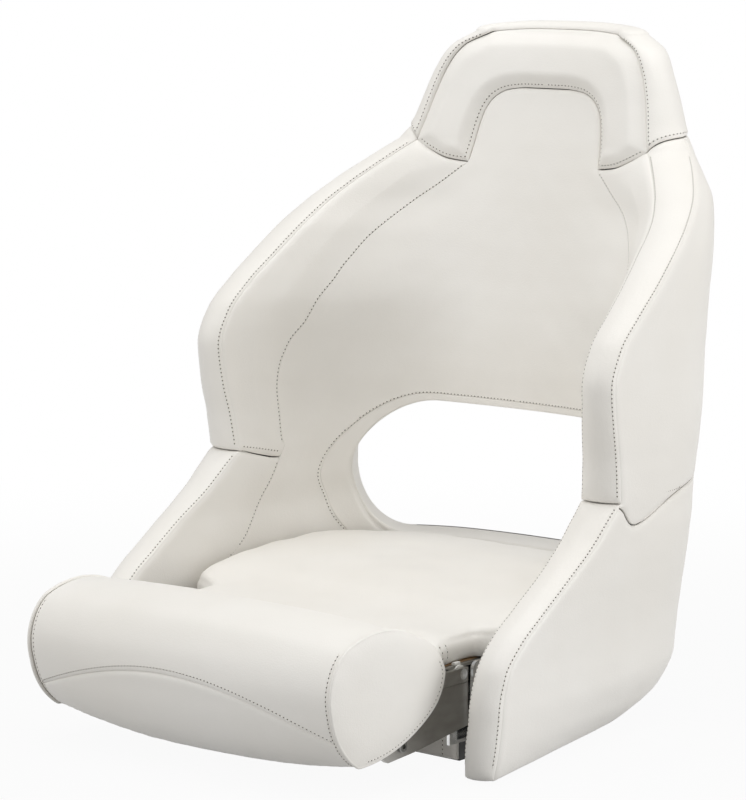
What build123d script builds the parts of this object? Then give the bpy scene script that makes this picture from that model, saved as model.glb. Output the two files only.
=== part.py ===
from build123d import *
from math import atan2, cos, pi, radians, sin
import os

os.makedirs("parts", exist_ok=True)

# A helm seat: an upholstered bucket with a hole in the lower back, a loose cushion, and a front
# bolster that flips up about a cross pin on each side. X runs across, the front faces -Y, Z is up.
# The origin is the middle of the four mounting inserts, on the underside.

# Driving sizes of the tub, in millimetres
half_width = 281.0
tub_depth = 490.0
tub_height = 712.0
rim_bulge = 8.0
rim_depth = 16.0
rim_joint_gap = 2.0
pad_thickness = 14.0
skin_thickness = 4.0
core_clearance = 0.3

# One row per level of the tub, from the bottom up, with the elbow and the notch as repeated ends.
# Shares: height of tub_height; then for the inner seam of the rim and for the outer one: across of
# half_width, along of tub_depth, lean of the side wall in degrees, straight run of tub_depth,
# centre of the back of tub_depth, radius of the back of half_width.
lower_level_shares = [
    (0.000, (0.800, -0.408, 10.0, 0.561, 0.343, 3.2), (0.918, -0.392, 11.0, 0.510, 0.400, 2.14)),
    (0.017, (0.815, -0.418, 7.5, 0.561, 0.365, 3.2), (0.940, -0.404, 9.0, 0.520, 0.424, 2.14)),
    (0.049, (0.825, -0.424, 4.5, 0.561, 0.382, 3.2), (0.961, -0.408, 6.0, 0.535, 0.461, 2.31)),
    (0.100, (0.838, -0.424, 3.0, 0.561, 0.382, 3.2), (0.975, -0.407, 4.0, 0.535, 0.492, 2.49)),
    (0.150, (0.840, -0.406, 3.0, 0.541, 0.380, 3.2), (0.979, -0.390, 4.0, 0.527, 0.498, 2.49)),
    (0.190, (0.840, -0.357, 3.0, 0.490, 0.378, 3.2), (0.982, -0.339, 4.0, 0.482, 0.504, 2.49)),
    (0.221, (0.841, -0.293, 3.0, 0.421, 0.375, 3.15), (0.984, -0.276, 4.0, 0.422, 0.507, 2.49)),
    (0.253, (0.843, -0.224, 3.0, 0.347, 0.373, 3.1), (0.986, -0.208, 4.0, 0.357, 0.510, 2.49)),
    (0.299, (0.829, -0.127, 4.0, 0.241, 0.369, 3.1), (0.986, -0.112, 4.0, 0.265, 0.514, 2.49)),
    (0.325, (0.822, -0.083, 4.5, 0.193, 0.368, 3.0), (0.986, -0.070, 4.5, 0.228, 0.517, 2.49)),
    (0.350, (0.815, -0.041, 5.0, 0.147, 0.367, 2.9), (0.986, -0.029, 5.0, 0.196, 0.520, 2.49)),
]
upper_level_shares = [
    (0.350, (0.815, -0.041, 5.0, 0.147, 0.367, 2.9), (0.986, -0.029, 5.0, 0.196, 0.520, 2.49)),
    (0.404, (0.829, -0.049, 6.0, 0.139, 0.361, 2.9), (0.993, -0.039, 5.0, 0.216, 0.524, 2.49)),
    (0.459, (0.843, -0.065, 8.0, 0.135, 0.357, 2.9), (1.000, -0.055, 5.0, 0.241, 0.529, 2.49)),
    (0.515, (0.851, -0.073, 10.0, 0.122, 0.357, 2.9), (1.000, -0.063, 5.0, 0.257, 0.533, 2.49)),
    (0.566, (0.847, -0.043, 14.0, 0.092, 0.361, 2.9), (0.996, -0.031, 5.0, 0.237, 0.535, 2.49)),
    (0.608, (0.840, 0.020, 19.0, 0.061, 0.367, 2.9), (0.989, 0.035, 6.0, 0.192, 0.537, 2.49)),
    (0.646, (0.822, 0.090, 25.0, 0.045, 0.373, 3.0), (0.975, 0.108, 7.0, 0.143, 0.539, 2.67)),
    (0.684, (0.797, 0.157, 33.0, 0.041, 0.382, 3.0), (0.954, 0.180, 9.0, 0.110, 0.539, 2.85)),
    (0.721, (0.765, 0.227, 43.0, 0.041, 0.392, 3.2), (0.915, 0.257, 12.0, 0.082, 0.541, 3.03)),
    (0.754, (0.708, 0.286, 55.0, 0.041, 0.402, 3.6), (0.861, 0.327, 15.0, 0.061, 0.543, 3.20)),
    (0.785, (0.633, 0.339, 66.0, 0.041, 0.412, 3.9), (0.783, 0.390, 22.0, 0.041, 0.547, 3.56)),
    (0.815, (0.552, 0.390, 76.0, 0.041, 0.422, 4.3), (0.694, 0.447, 30.0, 0.025, 0.549, 3.92)),
]
head_level_shares = [
    (0.815, (0.552, 0.390, 76.0, 0.041, 0.422, 4.3), (0.694, 0.447, 30.0, 0.025, 0.549, 3.92)),
    (0.850, (0.527, 0.406, 78.0, 0.041, 0.435, 4.3), (0.623, 0.461, 14.0, 0.014, 0.549, 3.92)),
    (0.888, (0.502, 0.422, 78.0, 0.041, 0.447, 4.3), (0.584, 0.469, 8.0, 0.008, 0.551, 3.92)),
    (0.927, (0.466, 0.437, 78.0, 0.041, 0.461, 4.3), (0.541, 0.478, 8.0, 0.008, 0.557, 3.92)),
    (0.961, (0.406, 0.455, 78.0, 0.041, 0.476, 4.3), (0.488, 0.490, 8.0, 0.008, 0.567, 3.92)),
    (0.982, (0.299, 0.482, 78.0, 0.037, 0.496, 4.3), (0.399, 0.502, 8.0, 0.008, 0.567, 3.92)),
]
crown_height_shares = (0.982, 0.993, 1.000)
crown_scale_shares = (1.0, 0.93, 0.74)
crown_centre_share = 0.525
wall_cut_share = 0.8

# The seam between the back panel and the side bolsters, as shares of tub_depth and tub_height in
# the side view low down, and of half_width and tub_height in the front view high up
side_seam_shares = [(-0.22, 0.09), (-0.05, 0.205), (0.045, 0.285), (0.085, 0.33), (0.085, 0.46),
                    (0.11, 0.50), (0.155, 0.55), (0.196, 0.60)]
front_seam_shares = [(0.708, 0.60), (0.62, 0.67), (0.50, 0.725), (0.40, 0.755), (0.306, 0.785)]

# The horseshoe panel of the headrest
horseshoe_foot_share = 0.306
horseshoe_top_share = 0.228
horseshoe_height_share = 0.896
horseshoe_corner = 26.0

# The hole in the lower back
hole_front_half = 157.0
hole_rear_half = 293.0
hole_front_along = 60.0
hole_rear_along = 280.0
hole_bottom = 140.0
hole_front_top = 323.0
hole_rear_top = 283.0
hole_round_share = 0.96
ring_width = 21.0
ring_top_width = 9.0

# Base: board with its inserts, moulded pan, front apron
board_thickness = 18.0
insert_spacing_x = 203.0
insert_spacing_y = 203.0
insert_hole_radius = 4.0
insert_radius = 7.0
insert_length = 15.0
insert_flange_radius = 10.0
insert_flange = 1.5
floor_top = 79.0
floor_thickness = 14.0
pan_wall = 10.0
pan_front = -152.0
pan_shoulder = -88.0
apron_thickness = 8.0
apron_bottom = 2.0
apron_top_gap = 2.0
apron_round = 3.0
wall_clearance = 0.4
base_screw_radius = 3.0
base_screw_head_radius = 6.0
base_screw_head = 3.0
base_screw_length = 30.0
base_screw_across = 150.0
base_screw_front = -120.0
base_screw_rear = 60.0

# Bolster: pad, end caps, core board
bolster_length = 400.0
bolster_depth = 168.0
bolster_height = 126.0
bolster_rear = -200.0
bolster_bottom = 31.0
bolster_deepening_share = 1.06
bolster_swell_share = 1.167
bolster_swell_centre_share = 0.62
cap_thickness = 7.5
cap_gap = 0.3
cap_crown = 3.0
core_board_thickness = 18.0
core_board_depth = 90.0
core_board_front = -330.0
core_board_bottom = 70.0
core_board_fit = 0.3

# The outline of the bolster in side view: where each arc starts and a point on it, as shares of
# bolster_depth forward of bolster_rear and of bolster_height above bolster_bottom
bolster_outline_shares = [
    ((-0.762, 0.008), (-0.911, 0.190)),
    ((-0.988, 0.437), (-0.994, 0.667)),
    ((-0.863, 0.921), (-0.571, 1.000)),
    ((-0.238, 0.881), (-0.083, 0.754)),
    ((0.000, 0.563), (-0.030, 0.429)),
    ((-0.125, 0.278), (-0.417, 0.079)),
]
# Where the pad's sections stand, as shares of its half length, and how much each swells
bolster_station_shares = [(-1.0, 0.0), (-0.5, 0.8), (0.0, 1.0), (0.5, 0.8), (1.0, 0.0)]
cap_outline_scale_shares = [0.985, 1.0, 0.985, 0.86]

# Swing arms and the hinge
plate_thickness = 5.0
plate_gap = 1.0
hinge_bar_thickness = 2.0
hinge_bar_rise = 6.0
hinge_bar_drop = 8.5
hinge_bar_front = -226.0
hinge_bar_gap = 0.4
arm_rear = -151.0
arm_rear_bottom = 38.0
arm_tip = (-275.0, 24.0)
arm_front = (-340.0, 70.0)
arm_front_top = (-330.0, 104.0)
arm_under = (-236.0, 27.0)
arm_corner = 3.0
pivot_along = -158.0
pivot_height = 90.5
pivot_radius = 4.0
pivot_clearance = 0.05
pivot_head_radius = 5.5
pivot_socket_depth = 0.9
bush_wall = 1.0
washer_thickness = 1.5
washer_radius = 8.5
running_gap = 0.3
bracket_thickness = 3.5
bracket_front = -172.0
bracket_rear = -100.0
bracket_bottom = 20.0
bracket_rise = 5.5
cheek_front = -150.0
cheek_rise = 11.5
cheek_gap = 1.5
cheek_corner = 8.0
stop_pin_radius = 4.0
stop_pin_height = 42.0
bracket_bolt_radius = 4.0
bracket_bolt_along = -114.0
bracket_bolt_heights = (36.0, 60.0)
bracket_bolt_head_radius = 6.5
bracket_bolt_head = 5.0
bracket_bolt_length = 22.0
access_hole_radius = 8.0
socket_radius = 2.5
socket_depth = 2.0
edge_round = 1.0
arm_bolt = (-255.0, 37.0)
arm_bolt_radius = 4.0
arm_bolt_head_radius = 6.0
arm_bolt_head = 3.5
arm_nut_radius = 6.5
arm_nut_thickness = 4.0
arm_screw_radius = 3.0
arm_screw_head_radius = 5.5
arm_screw_head = 2.5
arm_screw_length = 30.0
arm_screw_front = -310.0
arm_screw_rear = -262.0

# Side rails under the cushion
rail_thickness = 5.0
rail_front = -184.0
rail_round = 1.0
buffer_length = 9.0
buffer_width = 4.0
buffer_height = 2.6
buffer_rear = -151.0

# Cushion and its board
cushion_board_thickness = 19.0
cushion_board_gap = 3.0
cushion_wall_gap = 2.5
cushion_side_gap = 0.5
cushion_side_height = 24.0
cushion_crown = 28.0
cushion_side_draw = 5.0
cushion_roll = 38.0
cushion_roll_rise_share = 0.66
cushion_roll_middle_share = 0.42
# The cushion's cross sections from the front to the rear: place along, as a share of tub_depth,
# whether it follows the wall or the hinges, height of the side as a share of cushion_side_height,
# and height of the crown as a share of cushion_crown
cushion_station_shares = [
    (-0.380, 0.0, 0.79, 0.02), (-0.367, 0.0, 0.93, 0.05), (-0.340, 0.0, 1.0, 0.12),
    (-0.300, 0.0, 1.0, 0.19), (-0.255, 0.0, 1.0, 0.32), (-0.215, 0.0, 1.0, 0.48),
    (-0.180, 0.2, 1.0, 0.62), (-0.150, 0.75, 1.0, 0.73), (-0.120, 1.0, 1.0, 0.82),
    (-0.060, 1.0, 1.0, 0.92), (0.040, 1.0, 1.0, 1.0), (0.130, 1.0, 1.0, 1.0),
    (0.210, 1.0, 1.0, 0.94), (0.270, 1.0, 1.0, 0.84), (0.320, 1.0, 1.0, 0.68),
    (0.352, 1.0, 0.96, 0.44), (0.366, 1.0, 0.85, 0.20),
]

# Joined sizes
pivot_hole_radius = pivot_radius + pivot_clearance
bush_radius = pivot_hole_radius + bush_wall
hinge_bar_top = pivot_height + hinge_bar_rise
hinge_bar_bottom = pivot_height - hinge_bar_drop
bracket_top = pivot_height + bracket_rise
cheek_top = pivot_height + cheek_rise
plate_outer = bolster_length / 2 - cap_thickness - cap_gap
plate_inner = plate_outer - plate_thickness
hinge_bar_inner = plate_outer - hinge_bar_thickness
bolster_body_half = plate_inner - plate_gap
bracket_outer = plate_inner - washer_thickness - running_gap
bracket_inner = bracket_outer - bracket_thickness
cheek_inner = plate_outer + cheek_gap
cheek_outer = cheek_inner + bracket_thickness
rail_inner = bracket_inner - rail_thickness
rail_top = floor_top + cushion_board_thickness
cushion_base = rail_top + wall_clearance
cushion_half = bracket_inner - cushion_side_gap
overrun = 2 * tub_depth


def save(shape, name):
    """Write one node as its own STEP file."""
    shape.label = name
    export_step(shape, os.path.join("parts", name + ".step"))


def mirrored(shape):
    """The left-hand twin of a right-hand piece."""
    return mirror(shape, about=Plane.YZ)


def arc_through(start, middle, end):
    return Edge.make_three_point_arc(start, middle, end)


class WallCurve:
    """Half of a wall's line in plan: a straight side, a corner arc and the arc of the back.

    The three are tangent to each other, and the curve can be moved sideways by an offset,
    which is positive away from the sitter."""

    def __init__(self, shares):
        across, along, lean, straight, back, radius = shares
        self.rim = Vector(across * half_width, along * tub_depth)
        self.run = straight * tub_depth
        self.inward = Vector(-cos(radians(lean)), -sin(radians(lean)))
        self.backward = Vector(-sin(radians(lean)), cos(radians(lean)))
        self.back_radius = radius * half_width
        self.back_centre = Vector(0, back * tub_depth - self.back_radius)
        end = self.rim + self.backward * self.run
        reach = end - self.back_centre
        fall = self.back_radius ** 2 - reach.length ** 2
        self.corner_radius = fall / (2 * (self.back_radius + reach.dot(self.inward)))
        self.corner_centre = end + self.inward * self.corner_radius
        away = self.corner_centre - self.back_centre
        self.corner_angle = atan2(away.Y, away.X)
        self.side_angle = atan2(-self.inward.Y, -self.inward.X)

    def on_side(self, run, offset):
        return self.rim + self.backward * run - self.inward * offset

    def on_corner(self, angle, offset):
        radius = self.corner_radius + offset
        return self.corner_centre + Vector(cos(angle), sin(angle)) * radius

    def on_back(self, angle, offset):
        radius = self.back_radius + offset
        return self.back_centre + Vector(cos(angle), sin(angle)) * radius


class Level:
    """One horizontal cut through the tub's wall."""

    def __init__(self, shares):
        height, inner, outer = shares
        self.z = height * tub_height
        self.inner = WallCurve(inner)
        self.outer = WallCurve(outer)
        self.inner_cut = min(rim_depth, self.inner.run * wall_cut_share)
        self.outer_cut = min(rim_depth, self.outer.run * wall_cut_share)

    def lift(self, point):
        return (point.X, point.Y, self.z)

    def flip(self, point):
        return (-point.X, point.Y, self.z)

    def cut_end(self, curve, offset):
        """Where an offset wall line meets the joint between the wall and the rim strip."""
        start = self.inner.on_side(self.inner_cut, 0)
        end = self.outer.on_side(self.outer_cut, 0)
        across = end - start
        base = curve.on_side(0, offset)
        share = (base - start).dot(curve.inward) / across.dot(curve.inward)
        return start + across * share

    def wall_edges(self, curve, offset):
        """The wall's line from the left end to the right end, at an offset."""
        end = self.cut_end(curve, offset)
        turn = curve.on_side(curve.run, offset)
        middle = curve.on_corner((curve.side_angle + curve.corner_angle) / 2, offset)
        join = curve.on_corner(curve.corner_angle, offset)
        top = curve.on_back(pi / 2, offset)
        return [
            Edge.make_line(self.flip(end), self.flip(turn)),
            arc_through(self.flip(turn), self.flip(middle), self.flip(join)),
            arc_through(self.flip(join), self.lift(top), self.lift(join)),
            arc_through(self.lift(join), self.lift(middle), self.lift(turn)),
            Edge.make_line(self.lift(turn), self.lift(end)),
        ]

    def layer(self, near_curve, near_offset, far_curve, far_offset):
        """The closed section of a layer of the wall, between two lines."""
        near = self.wall_edges(near_curve, near_offset)
        far = self.wall_edges(far_curve, far_offset)
        near_end = near[-1] @ 1
        far_end = far[-1] @ 1
        sides = [Edge.make_line(near_end, far_end), Edge.make_line(near[0] @ 0, far[0] @ 0)]
        return Wire(near + far + sides)

    def room(self, gap):
        """The closed section of the space between the pads, kept clear of them by a gap."""
        wall = self.wall_edges(self.inner, -gap)
        return Wire(wall + [Edge.make_line(wall[-1] @ 1, wall[0] @ 0)])

    def rim_middle(self):
        """The foremost point of the rim strip's rounded face."""
        centre = (self.inner.rim + self.outer.rim) * 0.5
        width = self.outer.rim - self.inner.rim
        return centre + Vector(width.Y, -width.X).normalized() * rim_bulge

    def rim(self):
        """The closed section of the right-hand rim strip."""
        inner_back = self.inner.on_side(self.inner_cut - rim_joint_gap, 0)
        outer_back = self.outer.on_side(self.outer_cut - rim_joint_gap, 0)
        seam_in = self.lift(self.inner.rim)
        seam_out = self.lift(self.outer.rim)
        return Wire([
            Edge.make_line(self.lift(inner_back), seam_in),
            arc_through(seam_in, self.lift(self.rim_middle()), seam_out),
            Edge.make_line(seam_out, self.lift(outer_back)),
            Edge.make_line(self.lift(outer_back), self.lift(inner_back)),
        ])

    def outline(self, scale, height):
        """The whole head's outline, drawn in about its middle and set at a height."""
        centre = Vector(0, crown_centre_share * tub_depth)

        def put(point, side):
            moved = centre + (point - centre) * scale
            return (moved.X * side, moved.Y, height)

        inner, outer = self.inner, self.outer
        back_in = inner.on_back(pi / 2, 0)
        back_out = outer.on_back(pi / 2, 0)
        bend = outer.on_corner((outer.side_angle + outer.corner_angle) / 2, 0)
        join = outer.on_corner(outer.corner_angle, 0)
        turn = outer.on_side(outer.run, 0)
        middle = self.rim_middle()
        edges = [arc_through(put(inner.rim, -1), put(back_in, 1), put(inner.rim, 1))]
        edges.append(arc_through(put(join, -1), put(back_out, 1), put(join, 1)))
        for side in (-1, 1):
            edges.append(arc_through(put(inner.rim, side), put(middle, side), put(outer.rim, side)))
            edges.append(Edge.make_line(put(outer.rim, side), put(turn, side)))
            edges.append(arc_through(put(turn, side), put(bend, side), put(join, side)))
        return Wire(edges)


def inner_layer(levels):
    """The upholstery pads on the sitter's side."""
    return loft([Face(lv.layer(lv.inner, 0, lv.inner, pad_thickness)) for lv in levels])


def core_layer(levels):
    """The moulded wall between the pads and the outer cover."""
    near = pad_thickness + core_clearance
    far = -skin_thickness - core_clearance
    return loft([Face(lv.layer(lv.inner, near, lv.outer, far)) for lv in levels])


def outer_layer(levels):
    """The outer cover on the back and the sides."""
    return loft([Face(lv.layer(lv.outer, -skin_thickness, lv.outer, 0)) for lv in levels])


def rim_strip(levels):
    """The rounded front strip of the right-hand wall."""
    return loft([Face(lv.rim()) for lv in levels])


def hole_outline(along, half, bottom, top, grow, grow_top):
    """A rounded slot-like outline across the back, for the hole and for its ring."""
    height = top - bottom + grow_top + grow
    width = 2 * (half + grow)
    centre = (bottom + top + grow_top - grow) / 2
    plane = Plane(origin=(0, along, centre), x_dir=(1, 0, 0), z_dir=(0, -1, 0))
    return plane * RectangleRounded(width, height, height / 2 * hole_round_share)


def hole_tool(grow, grow_top):
    """The tapering plug that cuts the hole, or that bounds its ring when it is grown."""
    front = hole_outline(hole_front_along, hole_front_half, hole_bottom, hole_front_top, grow, grow_top)
    rear = hole_outline(hole_rear_along, hole_rear_half, hole_bottom, hole_rear_top, grow, grow_top)
    return loft([front, rear], ruled=True)


def side_view_tool():
    """Everything in front of the side seam, below the height where the front view takes over."""
    points = [(along * tub_depth, height * tub_height) for along, height in side_seam_shares]
    low = points[0]
    high = points[-1]
    outline = [(-overrun, -overrun), (low[0], -overrun)] + points + [(-overrun, high[1])]
    face = Plane.YZ * make_face(Polyline(*outline, close=True))
    return extrude(face, amount=2 * half_width, both=True)


def front_view_tool():
    """Everything outside the front-view seam on the right, above the same height."""
    points = [(across * half_width, height * tub_height) for across, height in front_seam_shares]
    low = points[0]
    high = points[-1]
    outline = [(overrun, low[1])] + points + [(high[0], tub_height * 2), (overrun, tub_height * 2)]
    face = Plane.XZ * make_face(Polyline(*outline, close=True))
    right = extrude(face, amount=2 * tub_depth, both=True)
    return right + mirrored(right)


def horseshoe_tool():
    """The middle panel between the legs of the headrest's horseshoe, as a plug along Y."""
    foot = horseshoe_foot_share * half_width
    top = horseshoe_top_share * half_width
    peak = horseshoe_height_share * tub_height
    outline = Polyline((-foot, -peak), (-foot, front_seam_shares[-1][1] * tub_height), (-top, peak),
                       (top, peak), (foot, front_seam_shares[-1][1] * tub_height), (foot, -peak),
                       close=True)
    face = make_face(outline)
    corners = face.vertices().sort_by(Axis.Y)[-2:]
    face = fillet(corners, horseshoe_corner)
    return extrude(Plane.XZ * face, amount=2 * tub_depth, both=True)


lower_levels = [Level(row) for row in lower_level_shares]
cushion_wall = min(lower_levels, key=lambda level: abs(level.z - cushion_base)).inner
upper_levels = [Level(row) for row in upper_level_shares]
head_levels = [Level(row) for row in head_level_shares]


def largest(shape):
    """The main solid of a cut, without its stray flakes."""
    return shape.solids().sort_by(SortBy.VOLUME)[-1]


def tub_pieces():
    """The bucket: moulded core, pads, rim strips, covers and the hole through the back."""
    hole = hole_tool(0, 0)
    ring_plug = hole_tool(ring_width, ring_top_width)
    lower_pads = inner_layer(lower_levels)
    upper_pads = inner_layer(upper_levels)
    head_pads = inner_layer(head_levels)
    lower_core = core_layer(lower_levels)
    upper_core = core_layer(upper_levels)
    head_core = core_layer(head_levels)
    lower_cover = outer_layer(lower_levels)
    upper_cover = outer_layer(upper_levels)

    front_part = side_view_tool()
    outside_part = front_view_tool()
    side = front_part + outside_part
    arm_pads = (lower_pads & front_part).solids().sort_by(Axis.X)
    save(arm_pads[0], "arm_pad_left")
    save(arm_pads[-1], "arm_pad_right")
    bolsters = (upper_pads & side).solids().sort_by(Axis.X)
    save(bolsters[0], "side_bolster_left")
    save(bolsters[-1], "side_bolster_right")

    middle = horseshoe_tool()
    panel = (lower_pads - front_part) + (upper_pads - side) + (head_pads & middle)
    ring = (panel & ring_plug) - hole
    save(largest(ring), "back_opening_ring")
    save(largest(panel - ring_plug), "back_panel")
    save(largest(head_pads - middle), "headrest_pad")
    save(largest(lower_core + upper_core + head_core - hole), "tub_core")
    save(largest(lower_cover - hole), "lower_back_cover")
    save(largest(upper_cover - hole), "upper_back_cover")

    both_sides(rim_strip(lower_levels), "arm_rim")
    both_sides(rim_strip(upper_levels), "shoulder_rim")

    head_strip = rim_strip(head_levels)
    crown = loft([Face(head_levels[-1].outline(scale, height * tub_height))
                  for scale, height in zip(crown_scale_shares, crown_height_shares)])
    head_cover = outer_layer(head_levels) + head_strip + mirrored(head_strip) + crown
    save(largest(head_cover), "headrest_cover")


def block(across, along, heights):
    """A box between two values on each axis."""
    middle = [(pair[0] + pair[1]) / 2 for pair in (across, along, heights)]
    size = [pair[1] - pair[0] for pair in (across, along, heights)]
    return Pos(*middle) * Box(*size)


def side_face(points, across):
    """A face in side view, from points along and up, standing at a place across."""
    return Plane.YZ.offset(across) * make_face(Polyline(*points, close=True))


def rod(radius, across, along, height):
    """A cylinder lying across, between two values of X."""
    length = across[1] - across[0]
    place = Pos((across[0] + across[1]) / 2, along, height)
    return place * Rot(0, 90, 0) * Cylinder(radius, length)


def both_sides(shape, name):
    """Save a right-hand piece and its left-hand twin."""
    save(shape, name + "_right")
    save(mirrored(shape), name + "_left")


def room(gap):
    """The space inside the bucket, clear of the pads by a gap."""
    return loft([Face(level.room(gap)) for level in lower_levels])


def base_plan(half, front, shoulder, inset, heights):
    """The stepped plan of the base: narrow between the hinges, full width behind them."""
    narrow = block((-half, half), (front, shoulder + overrun), heights)
    wide = block((-half_width, half_width), (shoulder, shoulder + overrun), heights)
    return (narrow + wide) & room(wall_clearance + inset)


def insert_places():
    half_x = insert_spacing_x / 2
    half_y = insert_spacing_y / 2
    return [(x, y) for x in (-half_x, half_x) for y in (-half_y, half_y)]


def base_screw_places():
    return [(x, y) for x in (-base_screw_across, base_screw_across)
            for y in (base_screw_front, base_screw_rear)]


def stepped_pin(place, steps):
    """A turned piece standing on Z at a place, from (radius, bottom, top) steps."""
    pin = None
    for radius, bottom, top in steps:
        part = Pos(place[0], place[1], (bottom + top) / 2) * Cylinder(radius, top - bottom)
        pin = part if pin is None else pin + part
    return pin


def base_pieces():
    """The base board with its inserts and screws, the moulded pan and the apron."""
    board = base_plan(bracket_inner, pan_front, pan_shoulder, 0, (0, board_thickness))
    inserts = []
    for place in insert_places():
        body = stepped_pin(place, [(insert_flange_radius, 0, insert_flange),
                                   (insert_radius, insert_flange, insert_length)])
        board -= body
        board -= stepped_pin(place, [(insert_hole_radius, insert_length, board_thickness)])
        inserts.append(body - stepped_pin(place, [(insert_hole_radius, 0, insert_length)]))
    screws = []
    for place in base_screw_places():
        screw = stepped_pin(place, [(base_screw_head_radius, 0, base_screw_head),
                                    (base_screw_radius, base_screw_head, base_screw_length)])
        board -= screw
        screws.append(screw - stepped_pin(place, [(socket_radius, 0, socket_depth)]))

    pan = base_plan(bracket_inner, pan_front, pan_shoulder, 0, (board_thickness, floor_top))
    hollow = base_plan(bracket_inner - pan_wall, pan_front + pan_wall, pan_shoulder + pan_wall,
                       pan_wall, (board_thickness, floor_top - floor_thickness))
    pan -= hollow
    bosses = [stepped_pin(place, [(pan_wall, board_thickness, floor_top - floor_thickness)])
              for place in base_screw_places()]
    for boss in bosses:
        pan += boss
    for place in base_screw_places():
        pan -= stepped_pin(place, [(base_screw_radius, board_thickness, base_screw_length)])
    for height in bracket_bolt_heights:
        pan -= bolt_shank(height)
        pan -= mirrored(bolt_shank(height))
    save(board, "base_board")
    save(Compound(children=inserts), "mounting_inserts")
    save(Compound(children=screws), "base_screws")
    save(pan, "floor_pan")

    apron_rear = pan_front - wall_clearance
    apron = block((-bracket_inner, bracket_inner), (apron_rear - apron_thickness, apron_rear),
                  (apron_bottom, floor_top - apron_top_gap))
    front_edges = apron.faces().sort_by(Axis.Y)[0].edges()
    save(fillet(front_edges, apron_round), "front_apron")


def bolt_shank(height):
    """The shank of a bracket bolt on the right-hand side."""
    ends = (bracket_outer - bracket_bolt_length, bracket_outer)
    return rod(bracket_bolt_radius, ends, bracket_bolt_along, height)


def hinge_bracket():
    """The fixed bracket: an inner plate, a rear web and an outer cheek, in one bent plate."""
    inner = block((bracket_inner, bracket_outer), (bracket_front, bracket_rear),
                  (bracket_bottom, bracket_top))
    web = block((bracket_inner, cheek_outer), (bracket_rear - bracket_thickness, bracket_rear),
                (bracket_bottom, bracket_top))
    cheek = block((cheek_inner, cheek_outer), (cheek_front, bracket_rear),
                  (bracket_bottom, cheek_top))
    upper_edges = cheek.edges().filter_by(Axis.X).sort_by(Axis.Z)[-2:]
    cheek = fillet(upper_edges, cheek_corner)
    bracket = inner + web + cheek
    bracket -= rod(pivot_radius, (bracket_inner, bracket_outer), pivot_along, pivot_height)
    bracket -= stop_pin()
    for height in bracket_bolt_heights:
        bracket -= bolt_shank(height)
        bracket -= rod(access_hole_radius, (cheek_inner, cheek_outer), bracket_bolt_along, height)
    return bracket


def stop_pin():
    """The pin behind the arm that holds the lowered bolster."""
    along = arm_rear + running_gap + stop_pin_radius
    return rod(stop_pin_radius, (bracket_inner, cheek_outer), along, stop_pin_height)


def arm_outline():
    """The swing arm in side view, from the hinge to the front of the bolster."""
    return [(arm_rear, arm_rear_bottom), (arm_rear, hinge_bar_top),
            (hinge_bar_front, hinge_bar_top), arm_front_top, arm_front, arm_tip, arm_under]


def hinge_bar_block(grow):
    """The bar's space on the arm's outer face."""
    return block((hinge_bar_inner, plate_outer), (hinge_bar_front - grow, arm_rear + grow),
                 (hinge_bar_bottom - grow, hinge_bar_top + grow))


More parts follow.
